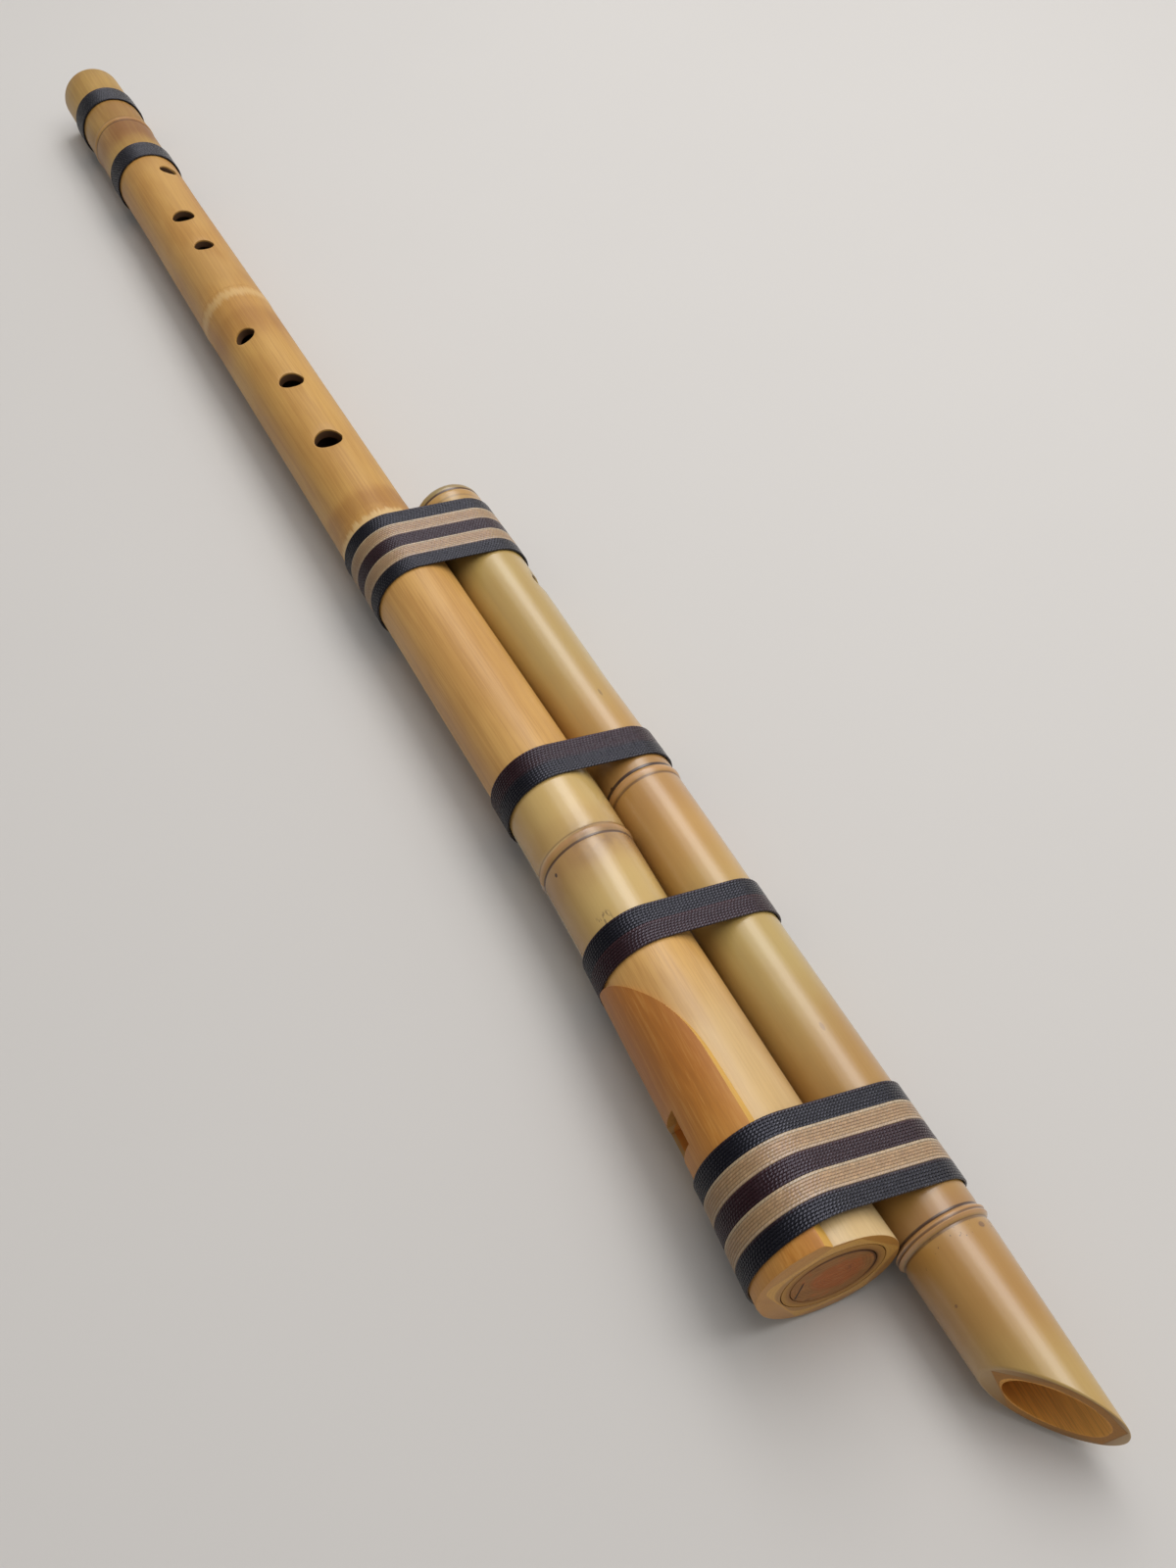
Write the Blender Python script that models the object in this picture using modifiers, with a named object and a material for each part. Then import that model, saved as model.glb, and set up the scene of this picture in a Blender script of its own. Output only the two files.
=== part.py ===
"""Ducted bamboo flute: a six-hole main tube with a side-blown air duct tube lashed beside it.

Stations run along +X from the foot of the main tube. Each tube is turned straight, then laid on its
own slightly bent axis, with +Z up and the floor at zero. Angles round a tube start at +Y, where the
duct tube lies, and turn towards +Z.
"""

import math

import bmesh
import bpy
import numpy as np
from mathutils import Matrix, Vector

MM = 0.001

# Overall lengths
MAIN_LENGTH = 733.4 * MM
MOUTH_OVERHANG = 66.6 * MM
DUCT_LENGTH = 395.7 * MM
LENGTH = MAIN_LENGTH + MOUTH_OVERHANG
DUCT_START = LENGTH - DUCT_LENGTH
TRIM_STOCK = 8.0 * MM

# Gaps that touching pieces keep
CLEARANCE = 0.3 * MM

# Main tube, outside, from foot to tail
FOOT_RADIUS = 14.9 * MM
FOOT_EDGE = 1.0 * MM
FOOT_NODE_AT = 62.8 * MM
FOOT_NODE_RADIUS = 15.1 * MM
HAND_RADIUS = 14.8 * MM
HAND_AT = 147.0 * MM
MID_NODE_AT = 242.0 * MM
MID_NODE_RADIUS = 15.7 * MM
MID_RADIUS = 15.4 * MM
UPPER_NODE_AT = 412.0 * MM
UPPER_NODE_RADIUS = 15.9 * MM
LONG_RADIUS = 15.5 * MM
LONG_AT = 470.0 * MM
MAIN_NODE_TO_TAIL = 148.9 * MM
MAIN_NODE_RADIUS = 15.95 * MM
WAIST_TO_TAIL = 121.4 * MM
WAIST_RADIUS = 15.8 * MM
FLARE_TO_TAIL = 88.0 * MM
FLARE_RADIUS = 16.7 * MM
SHOULDER_TO_TAIL = 33.0 * MM
SHOULDER_RADIUS = 18.05 * MM
TAIL_RADIUS = 20.0 * MM
TAIL_CUT_SLOPE = 0.099

# A node ring: a crest between two grooves
NODE_HALF_WIDTH = 3.6 * MM
NODE_CREST_HALF = 0.8 * MM
NODE_GROOVE_OFF = 1.9 * MM
NODE_CREST = 0.7 * MM
NODE_GROOVE = 0.3 * MM
SANDED_NODE_HALF_WIDTH = 14.0 * MM

# Raised flank left standing on the main tube's left side
FLANK_NOSE_TO_TAIL = 103.4 * MM
FLANK_NOSE_ANGLE = math.radians(177)
FLANK_NOSE_REACH = 28.0 * MM
FLANK_NOSE_SIDE = 1.0 * MM
FLANK_NOSE_RISE = 0.9 * MM
FLANK_TAIL_SIDE = 0.8 * MM
FLANK_TAIL_RISE = 3.0 * MM
FLANK_RIDGE_NOSE_SIDE = 0.4 * MM
FLANK_RIDGE_TAIL_SIDE = 2.4 * MM
FLANK_STEP_ANGLE = math.radians(45)

# Main tube, inside
MAIN_BORE_RADIUS = 11.6 * MM
HEAD_BORE_RADIUS = 13.0 * MM
HEAD_BORE_LENGTH = 93.0 * MM
SEAT_RADIUS = 15.05 * MM
SEAT_DEPTH = 16.4 * MM
SEAT_SIDE = 1.2 * MM
SEAT_RISE = 0.4 * MM
PLUG_RADIUS = 12.15 * MM
CHAMBER_LENGTH = 12.0 * MM
BLOCK_LENGTH = 17.2 * MM
WINDWAY_HEIGHT = 1.8 * MM

# Sounding window and its lip
WINDOW_ANGLE = math.radians(172)
WINDOW_LENGTH = 11.0 * MM
WINDOW_WIDTH = 13.6 * MM
LIP_RAMP_LENGTH = 8.0 * MM
LIP_THICKNESS = 0.8 * MM

# Finger holes, from the foot: station, angle and diameter
HOLE_1 = (121.4 * MM, math.radians(57), 8.0 * MM)
HOLE_2 = (169.8 * MM, math.radians(86), 10.0 * MM)
HOLE_3 = (199.3 * MM, math.radians(84), 8.5 * MM)
HOLE_4 = (276.0 * MM, math.radians(111), 9.0 * MM)
HOLE_5 = (317.4 * MM, math.radians(87), 10.0 * MM)
HOLE_6 = (361.0 * MM, math.radians(89), 11.0 * MM)

# Duct tube, outside, from its closed end to the mouth
DUCT_END_ROUND = 2.6 * MM
DUCT_END_RADIUS = 13.3 * MM
DUCT_RING_OFF = 5.0 * MM
DUCT_RING_CREST = 0.3 * MM
DUCT_GRIP_RADIUS = 13.4 * MM
DUCT_GRIP_OFF = 36.0 * MM
DUCT_SLIM_RADIUS = 12.4 * MM
DUCT_SLIM_OFF = 112.0 * MM
DUCT_NODE_OFF = 162.0 * MM
DUCT_NODE_RADIUS = 12.8 * MM
DUCT_LONG_RADIUS = 12.7 * MM
DUCT_LONG_OFF = 236.0 * MM
DUCT_TAIL_RADIUS = 13.05 * MM
DUCT_TAIL_NODE_OFF = 332.0 * MM
DUCT_TAIL_NODE_CREST = 0.8 * MM
DUCT_MOUTH_RADIUS = 11.8 * MM
MOUTH_CUT_SIDE = 1.24
MOUTH_CUT_RISE = -0.188

# Duct tube, inside
DUCT_BORE_RADIUS = 9.0 * MM
DUCT_END_WALL = 8.0 * MM
DIAPHRAGM = 4.0 * MM
MOUTH_BORE_RADIUS = 8.6 * MM
BLOW_HOLE_OFF = 61.9 * MM
BLOW_HOLE_ANGLE = math.radians(12)
BLOW_HOLE_DIAMETER = 10.0 * MM

# Passage from the duct tube into the main tube, and its seal
TRANSFER_DIAMETER = 11.0 * MM
SEAL_DIAMETER = 16.0 * MM

# Thread windings: a round cord that climbs one pitch a loop
CORD = 0.9 * MM
CORD_FLAT = CORD / 10
GROUP_LOOPS = 3
FOOT_LOOPS = 4
GROUP_BAND = 6.5 * MM
DOUBLE_BAND = 6.7 * MM
FOOT_BAND = 13.6 * MM
FOOT_BAND_1_AT = 27.7 * MM
FOOT_BAND_2_AT = 93.5 * MM
UPPER_GROUP_OFF = 11.5 * MM
MIDDLE_BANDS_TO_TAIL = 186.6 * MM
NECK_BANDS_TO_TAIL = 116.2 * MM
LOWER_GROUP_TO_TAIL = 38.4 * MM
GROUP_COLOURS = ("black", "tan", "brown", "tan", "black")
MAIN_STEP = 27
DUCT_STEP = 32
FOOT_STEP = 30

# Where the two axes run
MAIN_SIDE = -8.09 * MM
DUCT_SIDE = 29.32 * MM
BEND_TO_TAIL = 164.4 * MM
BEND_SPAN = 20.0 * MM
MAIN_BEND = 0.041
DUCT_BEND = 0.016
DUCT_FALL = 0.0019

# Facets
TUBE_SIDES = 40
DRILL_SIDES = 24
REACH = 300.0 * MM

# Stations that follow from the sizes above
MAIN_NODE_AT = MAIN_LENGTH - MAIN_NODE_TO_TAIL
WAIST_AT = MAIN_LENGTH - WAIST_TO_TAIL
FLANK_NOSE_AT = MAIN_LENGTH - FLANK_NOSE_TO_TAIL
BEND_AT = MAIN_LENGTH - BEND_TO_TAIL
SEAT_AT = MAIN_LENGTH - SEAT_DEPTH
CHAMBER_AT = SEAT_AT - CHAMBER_LENGTH
BLOCK_AT = CHAMBER_AT - BLOCK_LENGTH
WINDOW_AT = BLOCK_AT - CLEARANCE - WINDOW_LENGTH
HEAD_BORE_AT = MAIN_LENGTH - HEAD_BORE_LENGTH
TRANSFER_AT = CHAMBER_AT + CHAMBER_LENGTH / 2
DUCT_TAIL_NODE_AT = DUCT_START + DUCT_TAIL_NODE_OFF
UPPER_GROUP_AT = DUCT_START + UPPER_GROUP_OFF
MIDDLE_BANDS_AT = MAIN_LENGTH - MIDDLE_BANDS_TO_TAIL
NECK_BANDS_AT = MAIN_LENGTH - NECK_BANDS_TO_TAIL
LOWER_GROUP_AT = MAIN_LENGTH - LOWER_GROUP_TO_TAIL
LAST_BAND_MID = LOWER_GROUP_AT + (len(GROUP_COLOURS) - 0.5) * GROUP_BAND
FIRST_BAND_MID = FOOT_BAND_1_AT + FOOT_BAND / 2


def clear_scene():
    for obj in list(bpy.data.objects):
        bpy.data.objects.remove(obj, do_unlink=True)


def new_collection(name):
    collection = bpy.data.collections.new(name)
    bpy.context.scene.collection.children.link(collection)
    return collection


def principled(name, colour, roughness):
    """Plain dielectric material."""
    material = bpy.data.materials.new(name)
    material.use_nodes = True
    shader = material.node_tree.nodes["Principled BSDF"]
    shader.inputs["Base Color"].default_value = (*colour, 1.0)
    shader.inputs["Roughness"].default_value = roughness
    return material


def between(outline, station):
    """Radius of an outline at a station, in a straight line between its points."""
    stations = [point[0] for point in outline]
    radii = [point[1] for point in outline]
    return float(np.interp(station, stations, radii))


def node_ring(station, radius, crest=NODE_CREST):
    """Outline of a bamboo node: groove, crest, groove."""
    return [
        (station - NODE_HALF_WIDTH, radius),
        (station - NODE_GROOVE_OFF, radius - NODE_GROOVE),
        (station - NODE_CREST_HALF, radius + crest),
        (station + NODE_CREST_HALF, radius + crest),
        (station + NODE_GROOVE_OFF, radius - NODE_GROOVE),
        (station + NODE_HALF_WIDTH, radius),
    ]


def sanded_node(station, radius, beside):
    """Outline of a node sanded down to a low swelling."""
    return [
        (station - SANDED_NODE_HALF_WIDTH, beside),
        (station, radius),
        (station + SANDED_NODE_HALF_WIDTH, beside),
    ]


def main_outline():
    """Outer (station, radius) points of the main tube, from the foot to past the tail cut."""
    outline = [
        (0.0, FOOT_RADIUS - FOOT_EDGE),
        (0.3 * FOOT_EDGE, FOOT_RADIUS - 0.3 * FOOT_EDGE),
        (FOOT_EDGE, FOOT_RADIUS),
        *node_ring(FOOT_NODE_AT, FOOT_NODE_RADIUS),
        (HAND_AT, HAND_RADIUS),
        *sanded_node(MID_NODE_AT, MID_NODE_RADIUS, MID_RADIUS),
        *sanded_node(UPPER_NODE_AT, UPPER_NODE_RADIUS, LONG_RADIUS),
        (LONG_AT, LONG_RADIUS),
        *node_ring(MAIN_NODE_AT, MAIN_NODE_RADIUS),
        (WAIST_AT, WAIST_RADIUS),
        (MAIN_LENGTH - FLARE_TO_TAIL, FLARE_RADIUS),
        (MAIN_LENGTH - SHOULDER_TO_TAIL, SHOULDER_RADIUS),
        (MAIN_LENGTH, TAIL_RADIUS),
        (MAIN_LENGTH + TRIM_STOCK, TAIL_RADIUS),
    ]
    return outline


def duct_outline():
    """Outer (station, radius) points of the duct tube, from the closed end to past the mouth cut."""
    start = DUCT_START
    return [
        (start, DUCT_END_RADIUS - DUCT_END_ROUND),
        (start + 0.3 * DUCT_END_ROUND, DUCT_END_RADIUS - 0.3 * DUCT_END_ROUND),
        (start + DUCT_END_ROUND, DUCT_END_RADIUS),
        (start + DUCT_RING_OFF, DUCT_END_RADIUS + DUCT_RING_CREST),
        (start + DUCT_RING_OFF + NODE_HALF_WIDTH, DUCT_END_RADIUS),
        (start + DUCT_GRIP_OFF, DUCT_GRIP_RADIUS),
        (start + DUCT_SLIM_OFF, DUCT_SLIM_RADIUS),
        *node_ring(start + DUCT_NODE_OFF, DUCT_NODE_RADIUS),
        (start + DUCT_LONG_OFF, DUCT_LONG_RADIUS),
        *node_ring(DUCT_TAIL_NODE_AT, DUCT_TAIL_RADIUS, DUCT_TAIL_NODE_CREST),
        (LENGTH, DUCT_MOUTH_RADIUS),
        (LENGTH + TRIM_STOCK, DUCT_MOUTH_RADIUS),
    ]


MAIN_OUTLINE = main_outline()
DUCT_OUTLINE = duct_outline()


def main_radius(station):
    return between(MAIN_OUTLINE, station)


def duct_radius(station):
    return between(DUCT_OUTLINE, station)


def wrapped(radius, step):
    """Radius of a cord's centre line at the corners of its path round a tube."""
    return (radius + CLEARANCE + CORD / 2) / math.cos(math.radians(step) / 2)


def rest_height(radius, step):
    """Height of a tube's axis where a corner of its winding lies on the floor by its flat."""
    return wrapped(radius, step) + CORD / 2 - CORD_FLAT


# At the foot a straight run of the winding lies on the floor, not a corner
MAIN_HEIGHT_FOOT = main_radius(FIRST_BAND_MID) + CLEARANCE + CORD - CORD_FLAT
MAIN_HEIGHT_TAIL = rest_height(main_radius(LAST_BAND_MID), MAIN_STEP)
DUCT_HEIGHT_TAIL = rest_height(duct_radius(LAST_BAND_MID), DUCT_STEP)


def bent(station, slope):
    """Sideways run of an axis that turns by a slope at the bend, smoothed over the span."""
    along = station - (BEND_AT - BEND_SPAN)
    if along <= 0:
        return 0.0
    if along < 2 * BEND_SPAN:
        return slope * along**2 / (4 * BEND_SPAN)
    return slope * (station - BEND_AT)


def with_bend(outline):
    """An outline with points added at the bend, so that a long stretch follows its axis."""
    stations = (BEND_AT - BEND_SPAN, BEND_AT, BEND_AT + BEND_SPAN)
    inside = [at for at in stations if outline[0][0] < at < outline[-1][0]]
    return sorted([*outline, *((at, between(outline, at)) for at in inside)])


def main_axis(station):
    climb = (MAIN_HEIGHT_TAIL - MAIN_HEIGHT_FOOT) / (LAST_BAND_MID - FIRST_BAND_MID)
    side = MAIN_SIDE - bent(station, MAIN_BEND)
    height = MAIN_HEIGHT_FOOT + climb * (station - FIRST_BAND_MID)
    return Vector((station - LENGTH / 2, side, height))


def duct_axis(station):
    side = MAIN_SIDE + DUCT_SIDE - bent(station, DUCT_BEND)
    height = DUCT_HEIGHT_TAIL - DUCT_FALL * (station - LAST_BAND_MID)
    return Vector((station - LENGTH / 2, side, height))


def flank_share(station):
    """How far a station lies from the flank's nose to the tail, 0 to 1."""
    return min(max((station - FLANK_NOSE_AT) / (MAIN_LENGTH - FLANK_NOSE_AT), 0.0), 1.0)


def flank_shift(station):
    """Sideways and upward offset of the flank's own axis from the main axis."""
    share = flank_share(station)
    side = FLANK_NOSE_SIDE + (FLANK_TAIL_SIDE - FLANK_NOSE_SIDE) * share
    rise = FLANK_NOSE_RISE + (FLANK_TAIL_RISE - FLANK_NOSE_RISE) * share
    return Vector((0.0, -side, rise))


def flank_axis(station):
    return main_axis(station) + flank_shift(station)


def flank_ridge(station):
    """Point of the flank's upper edge."""
    share = flank_share(station)
    side = FLANK_RIDGE_NOSE_SIDE + (FLANK_RIDGE_TAIL_SIDE - FLANK_RIDGE_NOSE_SIDE) * share
    across = -side - flank_shift(station).y
    height = math.sqrt(main_radius(station) ** 2 - across**2)
    return main_axis(station) + Vector((0.0, -side, flank_shift(station).z + height))


def outward(angle):
    return Vector((0.0, math.cos(angle), math.sin(angle)))


def keep(obj, collection, material=None):
    """Puts a finished piece in its collection."""
    collection.objects.link(obj)
    if material is not None:
        obj.data.materials.append(material)
        obj.data.shade_smooth()
        obj.data.set_sharp_from_angle(angle=math.radians(35))
    return obj


def solid_from(bm, name):
    bmesh.ops.remove_doubles(bm, verts=bm.verts, dist=1e-7)
    bmesh.ops.recalc_face_normals(bm, faces=bm.faces)
    mesh = bpy.data.meshes.new(name)
    bm.to_mesh(mesh)
    bm.free()
    return bpy.data.objects.new(name, mesh)


def baked(obj):
    """The evaluated mesh of a helper object as a new object, in world coordinates."""
    scene = bpy.context.scene
    scene.collection.objects.link(obj)
    bpy.context.view_layer.update()
    graph = bpy.context.evaluated_depsgraph_get()
    mesh = bpy.data.meshes.new_from_object(obj.evaluated_get(graph))
    mesh.transform(obj.matrix_world)
    bm = bmesh.new()
    bm.from_mesh(mesh)
    bpy.data.meshes.remove(mesh)
    name = obj.name
    bpy.data.objects.remove(obj, do_unlink=True)
    return solid_from(bm, name)


def turned(name, outline, axis, sides=TUBE_SIDES):
    """A solid turned round +X from (station, radius) points, then laid on its axis."""
    points = [(outline[0][0], 0.0), *with_bend(outline), (outline[-1][0], 0.0)]
    profile = [(radius, 0.0, station) for station, radius in reversed(points)]
    mesh = bpy.data.meshes.new(name)
    mesh.from_pydata(profile, [(i, i + 1) for i in range(len(profile) - 1)], [])
    helper = bpy.data.objects.new(name, mesh)
    helper.rotation_euler = (0.0, math.pi / 2, 0.0)
    screw = helper.modifiers.new("Screw", "SCREW")
    screw.steps = sides
    screw.render_steps = sides
    screw.use_merge_vertices = True
    screw.merge_threshold = 1e-6
    obj = baked(helper)
    for vertex in obj.data.vertices:
        along, across, up = vertex.co
        vertex.co = axis(along) + Vector((0.0, across, up))
    return obj


def drill(name, start, end, diameter):
    """A round bar between two points."""
    run = end - start
    bm = bmesh.new()
    bmesh.ops.create_cone(
        bm, cap_ends=True, segments=DRILL_SIDES, radius1=diameter / 2, radius2=diameter / 2, depth=run.length
    )
    obj = solid_from(bm, name)
    obj.location = (start + end) / 2
    obj.rotation_euler = run.to_track_quat("Z", "Y").to_euler()
    return obj


def block(name, centre, size, frame):
    """A box with its edges along the columns of a frame."""
    bm = bmesh.new()
    bmesh.ops.create_cube(bm, size=1.0)
    bmesh.ops.scale(bm, verts=bm.verts, vec=size)
    obj = solid_from(bm, name)
    obj.location = centre
    obj.rotation_euler = frame.to_euler()
    return obj


def half_space(name, point, normal):
    """A large box whose near face lies on a plane."""
    normal = normal.normalized()
    frame = normal.to_track_quat("Z", "Y").to_matrix()
    return block(name, point + normal * REACH / 2, (REACH, REACH, REACH), frame)


def shape(part, cutter, cutters, operation="DIFFERENCE"):
    """Cuts a part with a helper, or joins the helper to it."""
    if cutter.name not in cutters.objects:
        keep(cutter, cutters)
        cutter.hide_render = True
        cutter.display_type = "WIRE"
    modifier = part.modifiers.new(cutter.name, "BOOLEAN")
    modifier.operation = operation
    modifier.solver = "EXACT"
    modifier.object = cutter


def flank_solid(cutters):
    """The raised flank: a turned body on its own axis, cut to a slanting nose and a sloping step."""
    start = FLANK_NOSE_AT - CORD
    end = MAIN_LENGTH + TRIM_STOCK / 2
    outline = [(start, main_radius(start))]
    outline += [point for point in MAIN_OUTLINE if start < point[0] < end]
    outline += [(end, TAIL_RADIUS)]
    flank = turned("flank", outline, flank_axis)
    nose_out = outward(FLANK_NOSE_ANGLE)
    nose_radius = main_radius(FLANK_NOSE_AT)
    nose = flank_axis(FLANK_NOSE_AT) + nose_out * nose_radius
    nose_normal = Vector((-nose_radius, 0.0, 0.0)) - nose_out * FLANK_NOSE_REACH
    shape(flank, half_space("nose_cut", nose, nose_normal), cutters)
    ridge_tail = flank_ridge(MAIN_LENGTH)
    ridge_run = ridge_tail - flank_ridge(MAIN_LENGTH - FLARE_TO_TAIL)
    slope = Vector((0.0, math.cos(FLANK_STEP_ANGLE), -math.sin(FLANK_STEP_ANGLE)))
    step_normal = ridge_run.cross(slope)
    if step_normal.z < 0:
        step_normal = -step_normal
    shape(flank, half_space("step_cut", ridge_tail, step_normal), cutters)
    return flank


def tail_cut():
    """Everything past the tail face, which leans a little."""
    return half_space("tail_cut", main_axis(MAIN_LENGTH), Vector((1.0, -TAIL_CUT_SLOPE, 0.0)))


def seat_axis(station):
    return main_axis(station) + Vector((0.0, SEAT_SIDE, SEAT_RISE))


def window_frame():
    """Columns: along the tube, outward and across, at the window."""
    out = outward(WINDOW_ANGLE)
    along = Vector((1.0, 0.0, 0.0))
    return Matrix((along, out, along.cross(out))).transposed()


def main_tube(material, parts, cutters):
    tube = keep(turned("main_tube", MAIN_OUTLINE, main_axis), parts, material)
    shape(tube, flank_solid(cutters), cutters, "UNION")
    shape(tube, tail_cut(), cutters)
    past = CORD
    bore = [
        (-past, MAIN_BORE_RADIUS),
        (HEAD_BORE_AT, MAIN_BORE_RADIUS),
        (HEAD_BORE_AT + past, HEAD_BORE_RADIUS),
        (SEAT_AT + past, HEAD_BORE_RADIUS),
    ]
    shape(tube, turned("main_bore", bore, main_axis), cutters)
    seat = [(SEAT_AT, SEAT_RADIUS), (MAIN_LENGTH + TRIM_STOCK, SEAT_RADIUS)]
    shape(tube, turned("plug_seat", seat, seat_axis), cutters)
    for number, hole in enumerate((HOLE_1, HOLE_2, HOLE_3, HOLE_4, HOLE_5, HOLE_6), start=1):
        station, angle, diameter = hole
        start = main_axis(station)
        end = start + outward(angle) * main_radius(station) * 1.5
        shape(tube, drill(f"finger_hole_{number}", start, end, diameter), cutters)
    cut_window(tube, cutters)
    shape(tube, transfer_drill(), cutters)
    return tube


def cut_window(tube, cutters):
    """The sounding window through the flank, and the ramp that thins its foot edge to a lip."""
    frame = window_frame()
    out = outward(WINDOW_ANGLE)
    depth = TAIL_RADIUS
    middle = main_axis(WINDOW_AT + WINDOW_LENGTH / 2) + out * (HEAD_BORE_RADIUS - LIP_THICKNESS + depth / 2)
    size = (WINDOW_LENGTH, depth, WINDOW_WIDTH)
    shape(tube, block("window_cut", middle, size, frame), cutters)
    lip = Vector((WINDOW_AT, HEAD_BORE_RADIUS + LIP_THICKNESS, 0.0))
    ramp_at = WINDOW_AT - LIP_RAMP_LENGTH
    top = flank_axis(ramp_at) - main_axis(ramp_at) + out * main_radius(ramp_at)
    run = (lip - Vector((ramp_at, top.dot(out), 0.0))).normalized()
    along = Vector((run.x, run.y * out.y, run.y * out.z))
    rise = Vector((-run.y, run.x * out.y, run.x * out.z))
    ramp_frame = Matrix((along, rise, along.cross(rise))).transposed()
    edge = main_axis(WINDOW_AT) + out * lip.y
    length = 2 * WINDOW_LENGTH
    centre = edge + rise * depth / 2 - along * (length / 2 - WINDOW_LENGTH / 2)
    shape(tube, block("lip_ramp", centre, (length, depth, WINDOW_WIDTH), ramp_frame), cutters)


def transfer_drill():
    return drill("transfer_drill", main_axis(TRANSFER_AT), duct_axis(TRANSFER_AT), TRANSFER_DIAMETER)


def air_duct_tube(material, parts, cutters):
    tube = keep(turned("air_duct_tube", DUCT_OUTLINE, duct_axis), parts, material)
    mouth_at = LENGTH - math.hypot(MOUTH_CUT_SIDE, MOUTH_CUT_RISE) * DUCT_MOUTH_RADIUS
    mouth_normal = Vector((1.0, -MOUTH_CUT_SIDE, -MOUTH_CUT_RISE))
    shape(tube, half_space("mouth_cut", duct_axis(mouth_at), mouth_normal), cutters)
    diaphragm_at = DUCT_TAIL_NODE_AT - DIAPHRAGM / 2
    bore = [(DUCT_START + DUCT_END_WALL, DUCT_BORE_RADIUS), (diaphragm_at, DUCT_BORE_RADIUS)]
    shape(tube, turned("duct_bore", bore, duct_axis), cutters)
    mouth_bore = [
        (diaphragm_at + DIAPHRAGM, MOUTH_BORE_RADIUS),
        (LENGTH + 2 * TRIM_STOCK, MOUTH_BORE_RADIUS),
    ]
    shape(tube, turned("mouth_bore", mouth_bore, duct_axis), cutters)
    blow_at = duct_axis(DUCT_START + BLOW_HOLE_OFF)
    blow_end = blow_at + outward(BLOW_HOLE_ANGLE) * DUCT_GRIP_RADIUS * 1.5
    shape(tube, drill("blow_hole", blow_at, blow_end, BLOW_HOLE_DIAMETER), cutters)
    shape(tube, transfer_drill(), cutters)
    return tube


def end_plug(material, parts, cutters):
    outline = [(SEAT_AT + CLEARANCE, PLUG_RADIUS), (MAIN_LENGTH + TRIM_STOCK, PLUG_RADIUS)]
    plug = keep(turned("end_plug", outline, seat_axis), parts, material)
    shape(plug, tail_cut(), cutters)


def plug_packing(material, parts, cutters):
    outer = SEAT_RADIUS - CLEARANCE
    inner = PLUG_RADIUS + CLEARANCE
    outline = [(SEAT_AT + CLEARANCE, outer), (MAIN_LENGTH + TRIM_STOCK, outer)]
    ring = keep(turned("plug_packing_ring", outline, seat_axis), parts, material)
    shape(ring, tail_cut(), cutters)
    bore = [(SEAT_AT - TRIM_STOCK, inner), (MAIN_LENGTH + 2 * TRIM_STOCK, inner)]
    shape(ring, turned("packing_bore", bore, seat_axis), cutters)


def fipple_block(material, parts, cutters):
    radius = HEAD_BORE_RADIUS - CLEARANCE
    outline = [(BLOCK_AT, radius), (CHAMBER_AT, radius)]
    fipple = keep(turned("fipple_block", outline, main_axis), parts, material)
    out = outward(WINDOW_ANGLE)
    floor = main_axis(BLOCK_AT) + out * (HEAD_BORE_RADIUS - WINDWAY_HEIGHT)
    shape(fipple, half_space("windway_cut", floor, out), cutters)


def transfer_seal(material, parts, cutters):
    """A ring of wax round the passage, shaped by the two tubes it lies between."""
    start = main_axis(TRANSFER_AT)
    end = duct_axis(TRANSFER_AT)
    seal = keep(drill("transfer_seal", start, end, SEAL_DIAMETER), parts, material)
    shape(seal, drill("seal_bore", start, end, TRANSFER_DIAMETER), cutters)
    for name, outline, axis in (
        ("main_seat", MAIN_OUTLINE, main_axis),
        ("duct_seat", DUCT_OUTLINE, duct_axis),
    ):
        grown = [(station, radius + CLEARANCE) for station, radius in outline]
        shape(seal, turned(name, grown, axis), cutters)


def tubes_at(station, with_duct):
    """(axis, radius, step) of each round form that a winding goes about at a station."""
    round_forms = [(main_axis(station), main_radius(station), MAIN_STEP)]
    if station > FLANK_NOSE_AT + FLANK_NOSE_REACH:
        round_forms.append((flank_axis(station), main_radius(station), MAIN_STEP))
    if with_duct:
        round_forms.append((duct_axis(station), duct_radius(station), DUCT_STEP))
    return round_forms


def outermost_runs(station):
    """(form, first degree, last degree) of each stretch where one form is the outermost, from the top web on."""
    forms = tubes_at(station, True)
    owner = []
    for half_degree in range(720):
        out = outward(math.radians(half_degree / 2))
        reach = [axis.dot(out) + radius for axis, radius, _ in forms]
        owner.append(reach.index(max(reach)))
    duct = len(forms) - 1
    first = next(i for i in range(720) if owner[i] != duct and owner[i - 1] == duct)
    runs = []
    for i in range(first, first + 720):
        form = owner[i % 720]
        if runs and runs[-1][0] == form:
            runs[-1][2] = i / 2
        else:
            runs.append([form, i / 2, i / 2])
    return runs


def loop_plan(station, with_duct):
    """(form, angle, step) of each corner of one loop."""
    if not with_duct:
        turns = range(0, 360, FOOT_STEP)
        return [(0, math.radians(90 + FOOT_STEP / 2 + turn), FOOT_STEP) for turn in turns]
    forms = tubes_at(station, True)
    plan = []
    for form, first, last in outermost_runs(station):
        count = max(1, round((last - first) / forms[form][2]))
        step = (last - first) / count
        plan += [(form, math.radians(first + step * i), step) for i in range(count + 1)]
    return plan


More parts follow.
